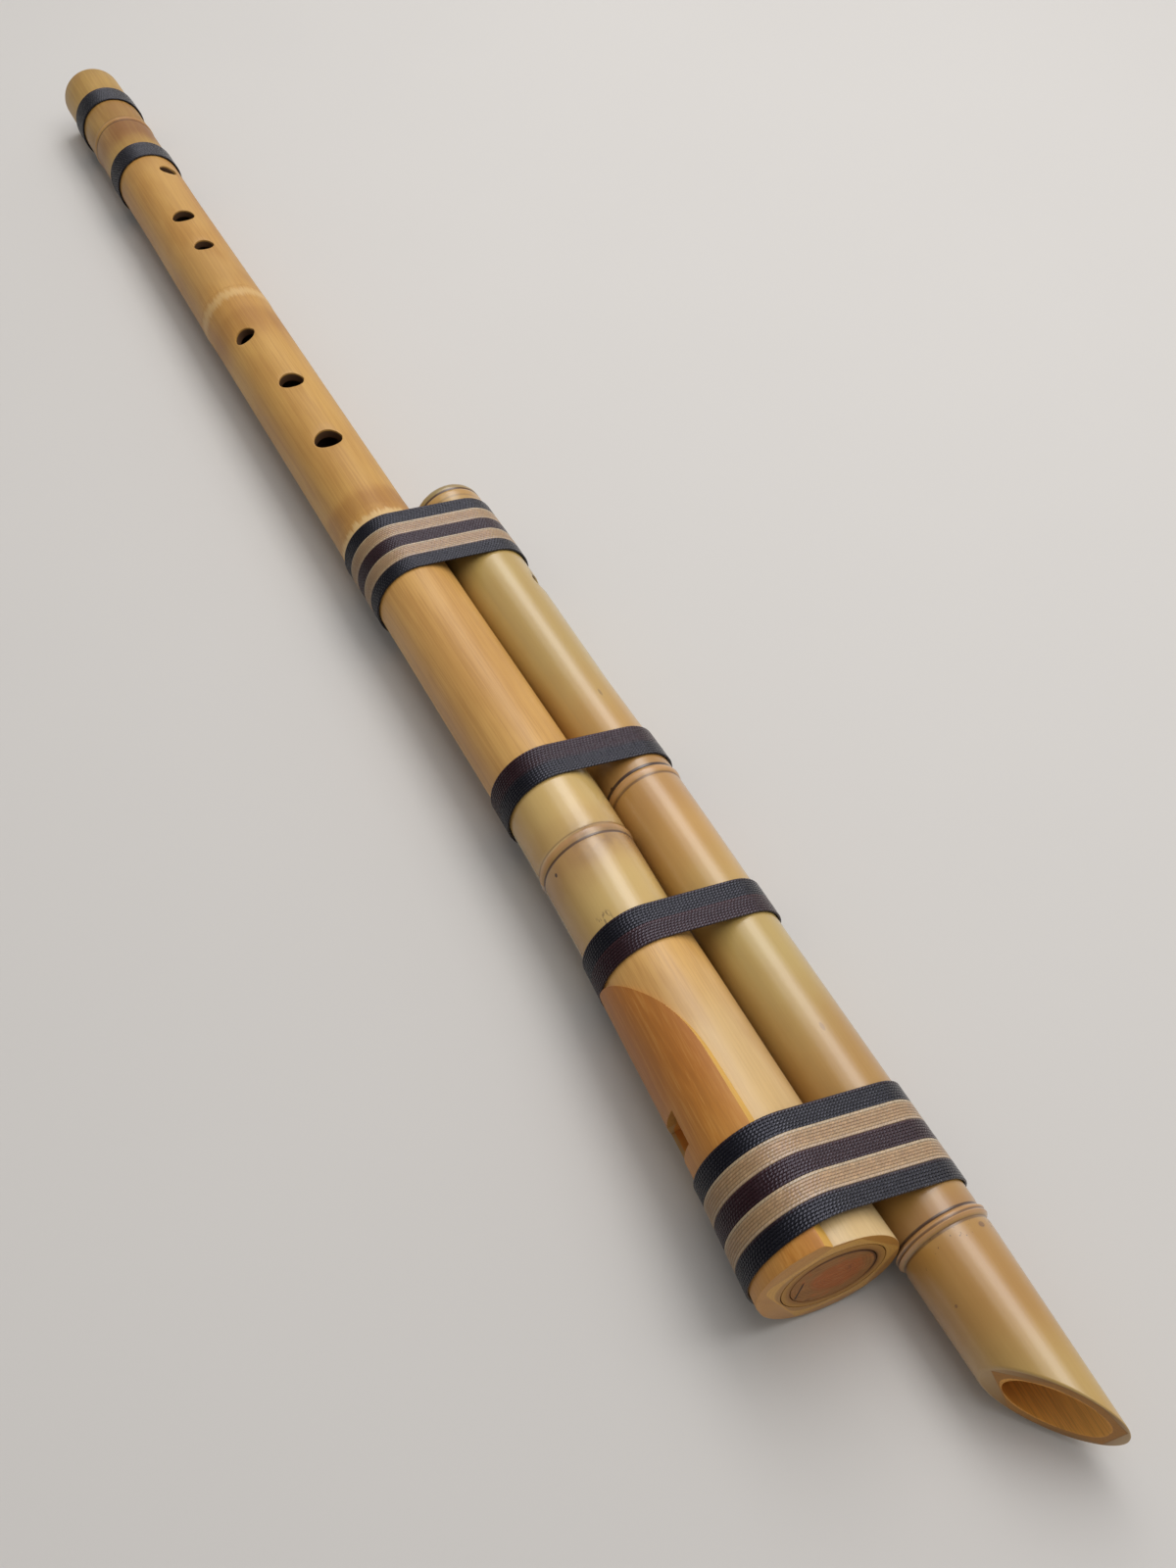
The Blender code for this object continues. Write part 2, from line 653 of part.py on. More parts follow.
def cord_path(start, width, loops, with_duct):
    """Corners of a winding's centre line, one pitch of climb a loop."""
    plan = loop_plan(start + width / 2, with_duct)
    pitch = (width - CORD - CLEARANCE) / loops
    path = []
    for index in range(loops * len(plan) + 1):
        form, angle, step = plan[index % len(plan)]
        station = start + CLEARANCE / 2 + CORD / 2 + pitch * index / len(plan)
        axis, radius, _ = tubes_at(station, with_duct)[form]
        path.append(axis + outward(angle) * wrapped(radius, step))
    if with_duct:
        web = (path[len(plan) - 1] - path[len(plan)]) / 2
        web.x = 0.0
        path[0:0] = [path[0] + web]
        path[-1] = path[-1] + web
    return path


def least_gap(path):
    """Least clear distance between a cord and itself, on points half a millimetre apart."""
    points = []
    for a, b in zip(path, path[1:]):
        count = max(1, math.ceil((b - a).length / (0.5 * MM)))
        points += [a.lerp(b, i / count) for i in range(count)]
    points = np.array(points)
    steps = np.linalg.norm(np.diff(points, axis=0), axis=1)
    travelled = np.concatenate([[0.0], np.cumsum(steps)])
    apart = np.linalg.norm(points[:, None] - points[None], axis=2)
    far = np.abs(travelled[:, None] - travelled[None]) > 10 * CORD
    return apart[far].min() - CORD


def winding(name, start, width, loops, with_duct, material, parts):
    """One unbroken round cord, wound about the main tube or about both tubes."""
    path = cord_path(start, width, loops, with_duct)
    curve = bpy.data.curves.new(name, "CURVE")
    curve.dimensions = "3D"
    curve.bevel_depth = CORD / 2
    curve.bevel_resolution = 1
    curve.use_fill_caps = True
    spline = curve.splines.new("POLY")
    spline.points.add(len(path) - 1)
    for point, place in zip(spline.points, path):
        point.co = (*place, 1.0)
    cord = baked(bpy.data.objects.new(name, curve))
    for vertex in cord.data.vertices:
        vertex.co.z = max(vertex.co.z, 0.0)
    print(f"{name}: {loops} loops, least gap to itself {least_gap(path) / MM:.2f} mm")
    return keep(cord, parts, material)


def windings(threads, parts):
    for number, start in enumerate((FOOT_BAND_1_AT, FOOT_BAND_2_AT), start=1):
        winding(f"foot_band_{number}", start, FOOT_BAND, FOOT_LOOPS, False, threads["black"], parts)
    for group, start in (("upper", UPPER_GROUP_AT), ("lower", LOWER_GROUP_AT)):
        for number, colour in enumerate(GROUP_COLOURS, start=1):
            at = start + (number - 1) * GROUP_BAND
            name = f"{group}_band_{number}_{colour}"
            winding(name, at, GROUP_BAND, GROUP_LOOPS, True, threads[colour], parts)
    for place, start, colours in (
        ("middle", MIDDLE_BANDS_AT, ("brown", "black")),
        ("neck", NECK_BANDS_AT, ("black", "brown")),
    ):
        for number, colour in enumerate(colours, start=1):
            at = start + (number - 1) * DOUBLE_BAND
            name = f"{place}_band_{number}_{colour}"
            winding(name, at, DOUBLE_BAND, GROUP_LOOPS, True, threads[colour], parts)


def main():
    clear_scene()
    parts = new_collection("moseno_flute")
    cutters = new_collection("cutters")
    bamboo = principled("sanded_bamboo", (0.56, 0.31, 0.09), 0.35)
    green_bamboo = principled("natural_bamboo", (0.47, 0.36, 0.12), 0.3)
    plug_wood = principled("plug_wood", (0.32, 0.13, 0.045), 0.6)
    packing = principled("packing", (0.28, 0.17, 0.09), 0.7)
    block_wood = principled("block_wood", (0.45, 0.25, 0.1), 0.6)
    wax = principled("wax", (0.3, 0.19, 0.06), 0.5)
    threads = {
        "black": principled("black_thread", (0.018, 0.02, 0.028), 0.6),
        "brown": principled("brown_thread", (0.036, 0.02, 0.02), 0.6),
        "tan": principled("tan_thread", (0.5, 0.33, 0.19), 0.6),
    }
    main_tube(bamboo, parts, cutters)
    air_duct_tube(green_bamboo, parts, cutters)
    end_plug(plug_wood, parts, cutters)
    plug_packing(packing, parts, cutters)
    fipple_block(block_wood, parts, cutters)
    transfer_seal(wax, parts, cutters)
    windings(threads, parts)


main()
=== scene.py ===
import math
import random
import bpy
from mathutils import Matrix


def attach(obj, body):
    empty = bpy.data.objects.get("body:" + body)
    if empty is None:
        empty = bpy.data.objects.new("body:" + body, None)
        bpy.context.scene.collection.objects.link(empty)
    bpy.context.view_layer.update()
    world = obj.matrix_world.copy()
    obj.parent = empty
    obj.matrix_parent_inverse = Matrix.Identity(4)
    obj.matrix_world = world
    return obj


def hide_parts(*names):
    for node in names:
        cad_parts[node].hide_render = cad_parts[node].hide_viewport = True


bl_info = {
    "name": "Moseno flute",
    "version": (1, 0, 0),
    "blender": (4, 5, 0),
    "location": "3D View > Sidebar > Flute",
    "description": "Builds a bamboo duct flute of two lashed tubes, piece by piece",
    "category": "Object",
}

import bmesh
import bpy
from bpy.props import FloatProperty, FloatVectorProperty, IntProperty, PointerProperty
from mathutils import Matrix, Vector

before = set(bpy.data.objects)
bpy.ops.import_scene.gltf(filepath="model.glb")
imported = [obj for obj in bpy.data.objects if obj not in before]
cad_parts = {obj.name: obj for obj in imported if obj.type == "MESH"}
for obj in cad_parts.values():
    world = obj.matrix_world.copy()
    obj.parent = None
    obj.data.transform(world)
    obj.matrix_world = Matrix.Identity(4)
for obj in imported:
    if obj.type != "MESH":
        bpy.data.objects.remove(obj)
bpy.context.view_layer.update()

MM = 0.001

# Stations are distances in millimetres from the open foot along the flute
FLUTE_LENGTH = 800.0
TAIL_AT = 733.4
DUCT_START = 404.3
DUCT_TAIL_NODE_AT = 736.3
BEND_START = 549.0
BEND_MIDDLE = 569.0
BEND_END = 589.0
MAIN_BEND = -0.041
DUCT_BEND = -0.016
MAIN_CLIMB = 0.007275
DUCT_CLIMB = -0.0019
MAIN_SIDE = -8.09
DUCT_SIDE = 21.23
DUCT_APART = 29.32

# Outer radius of the main tube: (station, radius)
MAIN_OUTLINE = (
    (0.0, 13.9), (0.3, 14.6), (1.0, 14.9), (30.0, 15.0), (59.2, 15.1), (60.9, 14.85), (61.7, 15.2),
    (62.5, 15.5), (63.4, 15.4), (64.6, 14.85), (66.4, 15.1), (100.0, 14.95), (147.0, 14.8), (190.0, 15.1),
    (228.0, 15.38), (236.0, 15.5), (242.0, 15.7), (248.0, 15.5), (256.0, 15.4), (300.0, 15.42),
    (350.0, 15.46), (398.0, 15.5), (406.0, 15.65), (412.0, 15.9), (418.0, 15.65), (426.0, 15.5),
    (470.0, 15.5), (510.0, 15.65), (549.0, 15.75), (559.0, 15.8), (569.0, 15.85), (575.0, 15.87),
    (580.9, 15.9), (582.6, 15.7), (583.4, 16.1), (584.3, 16.35), (585.3, 16.2), (586.5, 15.6), (588.1, 15.9),
    (595.0, 15.85), (612.0, 15.8), (625.0, 16.1), (645.4, 16.7), (672.0, 17.3), (700.4, 18.05),
    (716.0, 18.95), (733.4, 20.0), (745.0, 20.6),
)
RING_SPACING = 10.0
# Outer radius of the duct tube: (station, radius)
DUCT_OUTLINE = (
    (403.4, 10.9), (403.9, 12.3), (404.8, 13.1), (405.9, 13.5), (407.6, 13.6), (408.1, 13.3),
    (408.7, 13.6), (409.6, 13.65), (410.8, 13.45), (412.9, 13.3), (440.3, 13.4), (480.0, 12.9),
    (516.3, 12.4), (540.0, 12.6), (549.0, 12.68), (557.0, 12.74), (562.7, 12.8), (564.4, 12.5),
    (565.3, 13.05), (566.3, 13.35), (567.3, 13.15), (568.3, 12.6), (569.9, 12.8), (579.0, 12.78), (589.0, 12.77),
    (640.3, 12.7), (690.0, 12.9), (732.7, 13.05), (734.4, 12.75), (735.6, 13.8), (736.4, 13.55),
    (737.0, 13.8), (738.2, 12.75), (739.9, 13.05), (814.0, 11.5),
)
MAIN_BORE = ((-4.0, 11.6), (640.4, 11.6), (641.3, 13.0), (718.0, 13.0))
PLUG_SEAT = ((717.0, 15.05), (745.0, 15.05))
PLUG_SHIFT = (1.2, 0.4)
DUCT_BORE = ((412.3, 8.4), (412.9, 9.0), (733.7, 9.0), (734.3, 8.4))
MOUTH_BORE = ((738.3, 8.0), (738.9, 8.6), (818.0, 8.6))

# Finger holes: (station, degrees round the tube, diameter)
FINGER_HOLES = (
    (121.4, 57.0, 8.0),
    (169.8, 86.0, 10.0),
    (199.3, 84.0, 8.5),
    (276.0, 111.0, 9.0),
    (317.4, 87.0, 10.0),
    (361.0, 89.0, 11.0),
)
BLOW_HOLE = (463.8, 18.0, 10.0)
TRANSFER_AT = 711.0
TRANSFER_DIAMETER = 11.0

# The raised flank, its slanting nose and the sloping step of its upper edge
FLANK_NOSE_AT = 630.0
# Its upper edge, from the nose to the tail: (station, degrees round the flank, slope of the step)
FLANK_EDGE = (
    (630.3, 186.0, 90.0), (630.6, 174.0, 90.0), (631.5, 163.0, 90.0), (633.0, 152.0, 90.0),
    (635.5, 141.0, 90.0), (639.0, 130.0, 88.0), (642.4, 122.0, 84.0), (646.0, 114.5, 78.0),
    (650.5, 107.0, 69.0), (655.0, 101.5, 61.0), (660.0, 97.7, 55.0), (666.0, 95.6, 51.0),
    (674.0, 95.0, 48.0), (700.0, 94.6, 48.0), (746.0, 94.5, 52.0),
)

# The sounding window in the flank
WINDOW_ANGLE = 172.0
WINDOW_AT = 676.5
WINDOW_LENGTH = 11.0
WINDOW_WIDTH = 13.6
WINDOW_FLOOR = 12.2
LIP_HEIGHT = 13.8
LIP_RAMP_LENGTH = 8.0

# Threads lie a little flattened and just clear of the tubes
THREAD_FLATNESS = 0.82
THREAD_CLEAR = 0.28

# Thread bands: (node, first station, width, finish, round both tubes)
FOOT_BANDS = (
    ("foot_band_1", 27.7, 13.6, "black", False),
    ("foot_band_2", 93.5, 13.6, "black", False),
)
FIVE_BANDS = tuple(
    (f"{place}_band_{number}_{finish}", start + 6.5 * (number - 1), 6.5, finish, True)
    for place, start in (("upper", 415.8), ("lower", 695.0))
    for number, finish in enumerate(("black", "tan", "brown", "tan", "black"), start=1)
)
DOUBLE_BANDS = (
    ("middle_band_1_brown", 546.8, 6.7, "brown", True),
    ("middle_band_2_black", 553.5, 6.7, "black", True),
    ("neck_band_1_black", 617.2, 6.7, "black", True),
    ("neck_band_2_brown", 623.9, 6.7, "brown", True),
)


def colour_property(name, description, default):
    return FloatVectorProperty(
        name=name, description=description, default=default, size=3, min=0.0, max=1.0, subtype="COLOR"
    )


def length_property(name, description, default):
    return FloatProperty(name=name, description=description, default=default, min=0.0, unit="LENGTH")


class FluteSizes(bpy.types.PropertyGroup):
    """Sizes of the flute's finer parts."""

    tube_sides: IntProperty(
        name="Tube sides", description="Faces round each bamboo tube", default=96, min=24, max=256
    )
    rim_softness: length_property("Rim softness", "Width of the rounding on the rims of the holes", 0.0003)
    mouth_softness: length_property("Mouth softness", "Width of the rounding on the mouth's outer edge", 0.0007)
    thread: length_property("Thread", "Width of the winding thread", 0.00095)
    group_turns: IntProperty(
        name="Turns in a group band", description="Turns of thread in each band of five", default=7, min=3
    )
    double_turns: IntProperty(
        name="Turns in a double band", description="Turns of thread in each half of a double band", default=7, min=3
    )
    foot_turns: IntProperty(
        name="Turns in a foot band", description="Turns of thread in each band on the foot", default=15, min=4
    )


class FluteColours(bpy.types.PropertyGroup):
    """Colours of bamboo, thread and wood."""

    sanded: colour_property("Sanded bamboo", "Bamboo sanded to a golden orange", (0.465, 0.235, 0.052))
    foot: colour_property("Foot bamboo", "Khaki bamboo at the foot", (0.39, 0.228, 0.054))
    foot_brown: colour_property("Foot brown", "Browner bamboo past the foot's node", (0.235, 0.10, 0.024))
    burnt: colour_property("Burnt gold", "Darker gold beside the sanded nodes", (0.36, 0.165, 0.032))
    golden_skin: colour_property("Golden bamboo", "Lighter gold round the upper finger holes", (0.52, 0.285, 0.07))
    node_ring: colour_property("Node ring", "Pale feathered ring of a sanded node", (0.66, 0.45, 0.20))
    skin: colour_property("Bamboo skin", "Natural khaki skin with its gloss", (0.53, 0.36, 0.127))
    smoke: colour_property("Smoky skin", "Smoky brown skin past the main tube's node", (0.36, 0.19, 0.068))
    amber: colour_property("Amber", "Lighter orange bamboo between and beside the bands", (0.60, 0.335, 0.10))
    crown: colour_property("Crown", "Pale shaved bamboo beside the flank", (0.61, 0.405, 0.18))
    tail_crown: colour_property("Tail crown", "Creamier bamboo at the tail", (0.66, 0.475, 0.235))
    flank: colour_property("Flank", "Shaved orange bamboo of the raised flank", (0.406, 0.142, 0.017))
    flank_tail: colour_property("Flank tail", "Lighter orange of the flank at the tail", (0.478, 0.191, 0.026))
    step: colour_property("Flank step", "Yellow cut along the flank's upper edge", (0.64, 0.36, 0.07))
    duct: colour_property("Duct skin", "Khaki skin of the air duct tube", (0.47, 0.325, 0.105))
    duct_brown: colour_property("Duct brown", "Orange-brown skin past the first duct node", (0.47, 0.25, 0.064))
    duct_tan: colour_property("Duct tan", "Brown-tan skin of the duct tube's tail", (0.40, 0.21, 0.052))
    ridge: colour_property("Node ridge", "Orange tan of a natural node's ridge", (0.50, 0.262, 0.10))
    scorch: colour_property("Scorched wood", "Dark wood in node grooves", (0.06, 0.028, 0.018))
    # Painted shade: the hole wall colour is dark to stand in for the shade inside the finger holes, the window and the
    # bores.
    hole: colour_property("Hole wall", "Dark wall of the finger holes and the bore", (0.085, 0.04, 0.016))
    pith: colour_property("Pith", "Cut wall of the bamboo", (0.70, 0.38, 0.085))
    mouth: colour_property("Mouth rim", "Brown-tan cut rim of the mouth", (0.40, 0.18, 0.038))
    golden: colour_property("Golden bore", "Fibrous golden wall inside the mouth", (0.76, 0.355, 0.062))
    plug: colour_property("Plug", "Reddish brown heart of the plug", (0.42, 0.125, 0.028))
    plug_edge: colour_property("Plug edge", "Greyer brown round the heart of the plug", (0.35, 0.16, 0.045))
    black_thread: colour_property("Black thread", "Blue-black thread", (0.0065, 0.0065, 0.010))
    brown_thread: colour_property("Brown thread", "Dark purple-brown thread", (0.030, 0.010, 0.012))
    tan_thread: colour_property("Tan thread", "Tan thread", (0.46, 0.30, 0.155))
    cream_thread: colour_property("Cream thread", "Pale thread at the edges of a tan band", (0.54, 0.42, 0.27))
    floor: colour_property("Floor", "Plain pale floor", (0.61, 0.585, 0.56))


def bent(station, slope):
    """Sideways run of an axis that turns by a slope at the bend."""
    run = station - BEND_START
    if run <= 0:
        return 0.0
    if station < BEND_END:
        return slope * run**2 / (2 * (BEND_END - BEND_START))
    return slope * (station - BEND_MIDDLE)


def main_axis(station):
    side = MAIN_SIDE + bent(station, MAIN_BEND)
    return Vector((station - FLUTE_LENGTH / 2, side, 16.125 + MAIN_CLIMB * (station - 34.5)))


def duct_axis(station):
    side = DUCT_SIDE + bent(station, DUCT_BEND)
    return Vector((station - FLUTE_LENGTH / 2, side, 14.683 + DUCT_CLIMB * (station - 724.25)))


def radius_at(outline, station):
    """Radius of an outline at a station, in a straight line between its points."""
    for (first, radius), (second, next_radius) in zip(outline, outline[1:]):
        if first <= station <= second:
            return radius + (next_radius - radius) * (station - first) / (second - first)
    return outline[0][1] if station < outline[0][0] else outline[-1][1]


def flank_share(station):
    return min(max((station - FLANK_NOSE_AT) / (TAIL_AT - FLANK_NOSE_AT), 0.0), 1.0)


def flank_shift(station):
    """(across, up) from the main axis to the flank's own axis."""
    share = flank_share(station)
    return -(1.0 - 0.2 * share), 0.9 + 2.1 * share


def outward(degrees):
    return Vector((0.0, math.cos(math.radians(degrees)), math.sin(math.radians(degrees))))


def straightened(normal, bend, climb):
    """Normal of a plane in a tube's own coordinates, in which its axis is straight."""
    return Vector((normal.x + bend * normal.y + climb * normal.z, normal.y, normal.z))


# Modelling steps


def deselect():
    if bpy.context.object and bpy.context.object.mode != "OBJECT":
        bpy.ops.object.mode_set(mode="OBJECT")
    bpy.ops.object.select_all(action="DESELECT")


def pick(obj):
    deselect()
    obj.select_set(True)
    bpy.context.view_layer.objects.active = obj


def with_rings(outline, spacing, until):
    """The outline with more rings up to a station, so that no face of the skin gets long."""
    dense = [outline[0]]
    for (here, wide), (there, next_wide) in zip(outline, outline[1:]):
        count = math.ceil((there - here) / spacing) if there < until else 1
        for step in range(1, count + 1):
            share = step / count
            dense.append((here + (there - here) * share, wide + (next_wide - wide) * share))
    return dense


def drawn_tube(name, outline, sides, shift=lambda station: (0.0, 0.0)):
    """A closed solid drawn out ring by ring along +X through (station, radius) points."""
    deselect()
    start, radius = outline[0]
    across, up = shift(start)
    bpy.ops.mesh.primitive_circle_add(
        vertices=sides,
        radius=radius,
        fill_type="NGON",
        location=(start, across, up),
        rotation=(0.0, math.pi / 2, 0.0),
    )
    tube = bpy.context.object
    tube.name = name
    bpy.ops.object.transform_apply(location=True, rotation=True, scale=True)
    bpy.ops.object.mode_set(mode="EDIT")
    bpy.ops.mesh.select_all(action="SELECT")
    for (here, wide), (there, next_wide) in zip(outline, outline[1:]):
        old, new = shift(here), shift(there)
        step = (there - here, new[0] - old[0], new[1] - old[1])
        bpy.ops.mesh.extrude_region_move(TRANSFORM_OT_translate={"value": step})
        factor = next_wide / wide
        bpy.ops.transform.resize(value=(1.0, factor, factor), center_override=(there, *new))
    bpy.ops.mesh.select_all(action="SELECT")
    bpy.ops.mesh.normals_make_consistent(inside=False)
    bpy.ops.object.mode_set(mode="OBJECT")
    return tube


def drill_bar(name, start, end, diameter, sides=64):
    """A round bar, for cutting a hole."""
    deselect()
    run = end - start
    bpy.ops.mesh.primitive_cylinder_add(
        vertices=sides,
        radius=diameter / 2,
        depth=run.length,
        location=(start + end) / 2,
        rotation=run.to_track_quat("Z", "Y").to_euler(),
    )
    bar = bpy.context.object
    bar.name = name
    bpy.ops.object.transform_apply(location=True, rotation=True, scale=True)
    return bar


def trim(obj, point, normal):
    """Cuts away what lies beyond a plane and closes the cut."""
    pick(obj)
    bpy.ops.object.mode_set(mode="EDIT")
    bpy.ops.mesh.select_all(action="SELECT")
    bpy.ops.mesh.bisect(plane_co=point, plane_no=normal.normalized(), use_fill=True, clear_outer=True)
    bpy.ops.object.mode_set(mode="OBJECT")


def shape(part, tool, operation="DIFFERENCE"):
    """Cuts a part with a tool, or joins the tool to it."""
    pick(part)
    modifier = part.modifiers.new(tool.name, "BOOLEAN")
    modifier.operation = operation
    modifier.solver = "EXACT"
    modifier.object = tool
    bpy.ops.object.modifier_apply(modifier=modifier.name)
    bpy.data.objects.remove(tool, do_unlink=True)


def soften(obj, chosen, width, least_angle=40.0, segments=2):
    """Bevels the sharp edges that a test of their middle picks."""
    pick(obj)
    bpy.ops.object.mode_set(mode="EDIT")
    bpy.ops.mesh.select_mode(type="EDGE")
    bpy.ops.mesh.select_all(action="DESELECT")
    bm = bmesh.from_edit_mesh(obj.data)
    for edge in bm.edges:
        sharp = len(edge.link_faces) == 2 and edge.calc_face_angle() > math.radians(least_angle)
        middle = (edge.verts[0].co + edge.verts[1].co) / 2
        edge.select_set(bool(sharp and chosen(middle)))
    bmesh.update_edit_mesh(obj.data)
    bpy.ops.mesh.bevel(offset=width, offset_type="OFFSET", segments=segments, profile=0.5, clamp_overlap=False)
    bpy.ops.mesh.select_all(action="SELECT")
    bpy.ops.mesh.remove_doubles(threshold=width / 30)
    bpy.ops.object.mode_set(mode="OBJECT")


def tidy(obj, merge):
    pick(obj)
    bpy.ops.object.mode_set(mode="EDIT")
    bpy.ops.mesh.select_all(action="SELECT")
    bpy.ops.mesh.remove_doubles(threshold=merge)
    bpy.ops.mesh.dissolve_degenerate(threshold=merge / 4)
    bpy.ops.object.mode_set(mode="OBJECT")


def lay_on_axis(obj, axis, outline):
    """Stores each point's place in the straight tube and its depth under the skin, then lays it on its axis."""
    places, depths = [], []
    for vertex in obj.data.vertices:
        station, across, up = vertex.co
        places.extend(vertex.co * MM)
        depths.append((radius_at(outline, station) - math.hypot(across, up)) * MM)
        vertex.co = (axis(station) + Vector((0.0, across, up))) * MM
    obj.data.attributes.new("tube_place", "FLOAT_VECTOR", "POINT").data.foreach_set("vector", places)
    obj.data.attributes.new("skin_depth", "FLOAT", "POINT").data.foreach_set("value", depths)


def finish(obj, material, node, slot, angle=35.0):
    """Smooth shading, finish and place in the frame."""
    pick(obj)
    bpy.ops.object.shade_smooth_by_angle(angle=math.radians(angle))
    obj.data.materials.clear()
    obj.data.materials.append(material)
    deselect()
    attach(obj, "root")
    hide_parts(node)


# Materials


class Finish:
    """A material's nodes, added one by one."""

    def __init__(self, name):
        self.material = bpy.data.materials.new(name)
        self.material.use_nodes = True
        self.nodes = self.material.node_tree.nodes
        self.links = self.material.node_tree.links
        self.shader = self.nodes["Principled BSDF"]

    def node(self, kind, inputs=None, **settings):
        made = self.nodes.new(kind)
        for key, value in settings.items():
            setattr(made, key, value)
        for key, value in (inputs or {}).items():
            self.put(made.inputs[key], value)
        return made

    def put(self, socket, value):
        if isinstance(value, bpy.types.NodeSocket):
            self.links.new(value, socket)
        elif socket.type == "RGBA" and len(value) == 3:
            socket.default_value = (*value, 1.0)
        else:
            socket.default_value = value

    def math(self, operation, first, second=0.0, clamp=False):
        made = self.node("ShaderNodeMath", {0: first, 1: second}, operation=operation, use_clamp=clamp)
        return made.outputs[0]

    def band(self, value, low, high, soft):
        """1 between two values, fading to 0 over the soft width outside them."""
        rise = self.fade(value, low - soft, low)
        fall = self.fade(value, high + soft, high)
        return self.math("MULTIPLY", rise, fall)

    def fade(self, value, start, end):
        """0 at the start, 1 at the end, smooth between."""
        made = self.node(
            "ShaderNodeMapRange",
            {"Value": value, "From Min": start, "From Max": end},
            interpolation_type="SMOOTHSTEP",
        )
        return made.outputs["Result"]

    def mix(self, share, first, second, blend="MIX"):
        made = self.node("ShaderNodeMix", data_type="RGBA", blend_type=blend)
        for socket, value in ((made.inputs[0], share), (made.inputs[6], first), (made.inputs[7], second)):
            self.put(socket, value)
        return made.outputs[2]

    def noise(self, vector, scale, detail=3.0, roughness=0.55, stretch=(1.0, 1.0, 1.0)):
        turned = self.node("ShaderNodeMapping", {"Vector": vector, "Scale": stretch})
        inputs = {"Vector": turned.outputs[0], "Scale": scale, "Detail": detail, "Roughness": roughness}
        return self.node("ShaderNodeTexNoise", inputs).outputs["Fac"]

    def attribute(self, name, output="Vector"):
        return self.node("ShaderNodeAttribute", attribute_name=name).outputs[output]

    def split(self, vector):
        return self.node("ShaderNodeSeparateXYZ", {0: vector}).outputs

    def bump(self, height, distance, strength=1.0, normal=None):
        inputs = {"Height": height, "Distance": distance, "Strength": strength}
        if normal is not None:
            inputs["Normal"] = normal
        return self.node("ShaderNodeBump", inputs).outputs[0]

    def cut_face(self, least):
        """1 on faces that look along +X, such as the square cut at the tail."""
        normal = self.node("ShaderNodeNewGeometry").outputs["True Normal"]
        return self.fade(self.split(normal)[0], least - 0.15, least)

    def set(self, **values):
        for key, value in values.items():
            self.put(self.shader.inputs[key.replace("_", " ")], value)


def bamboo_coordinates(finish):
    """Place in the straight tube, station, degrees round it, and depth under the skin."""
    place = finish.attribute("tube_place")
    along, across, up = finish.split(place)
    turn = finish.math("ARCTAN2", up, across)
    degrees = finish.math("MULTIPLY", turn, 180.0 / math.pi)
    depth = finish.attribute("skin_depth", "Fac")
    return place, finish.math("MULTIPLY", along, 1000.0), degrees, finish.math("MULTIPLY", depth, 1000.0)


def wandering(finish, place, station, reach, scale=55.0):
    """The station, moved to and fro by a soft cloud so that zones blend unevenly."""
    cloud = finish.noise(place, scale, 3.0)
    return finish.math("ADD", station, finish.math("MULTIPLY", finish.math("SUBTRACT", cloud, 0.5), 2.0 * reach))


def zones(finish, station, colour, spans):
    """Lays coloured zones over a colour: (start, full from, full to, end, share, colour)."""
    for start, full_from, full_to, end, share, tint in spans:
        here = finish.math("MULTIPLY", finish.fade(station, start, full_from), finish.fade(station, end, full_to))
        colour = finish.mix(finish.math("MULTIPLY", here, share), colour, tint)
    return colour


def spots(finish, station, degrees, radius, colour, marks):
    """Small dark marks in the skin: (station, degrees, half length, half width, strength, colour)."""
    for at, turn, length, width, strength, tint in marks:
        along = finish.math("DIVIDE", finish.math("SUBTRACT", station, at), length)
        arc = radius * math.pi / 180.0 / width
        across = finish.math("MULTIPLY", finish.math("SUBTRACT", degrees, turn), arc)
        square = finish.math("ADD", finish.math("MULTIPLY", along, along), finish.math("MULTIPLY", across, across))
        here = finish.math("MULTIPLY", finish.fade(square, 1.3, 0.4), strength)
        colour = finish.mix(here, colour, tint)
    return colour


def grained(finish, place, colour, amount, clouds=0.3):
    """A bamboo colour with fine lengthwise fibres and soft clouds of a deeper and a paler tone."""
    hair = finish.noise(place, 2900.0, 3.0, 0.6, (0.012, 1.0, 1.0))
    fibre = finish.noise(place, 1300.0, 3.0, 0.6, (0.02, 1.0, 1.0))
    streak = finish.noise(place, 420.0, 3.0, 0.5, (0.03, 1.0, 1.0))
    fine = finish.math("ADD", finish.math("MULTIPLY", hair, 0.5), finish.math("MULTIPLY", fibre, 0.5))
    shade = finish.math("ADD", finish.math("MULTIPLY", fine, 0.72), finish.math("MULTIPLY", streak, 0.28))
    dark = finish.math("MULTIPLY", finish.fade(shade, 0.53, 0.42), amount)
    colour = finish.mix(dark, colour, (0.25, 0.09, 0.016))
    light = finish.math("MULTIPLY", finish.fade(shade, 0.50, 0.60), finish.math("MULTIPLY", amount, 0.6))
    colour = finish.mix(light, colour, (0.72, 0.44, 0.13))
    cloud = finish.noise(place, 42.0, 3.0, 0.5, (0.35, 1.0, 1.0))
    pale = finish.math("MULTIPLY", finish.fade(cloud, 0.48, 0.68), clouds)
    colour = finish.mix(pale, colour, (0.66, 0.42, 0.14))
    deep = finish.math("MULTIPLY", finish.fade(cloud, 0.50, 0.34), clouds)
    return finish.mix(deep, colour, (0.33, 0.13, 0.022)), shade


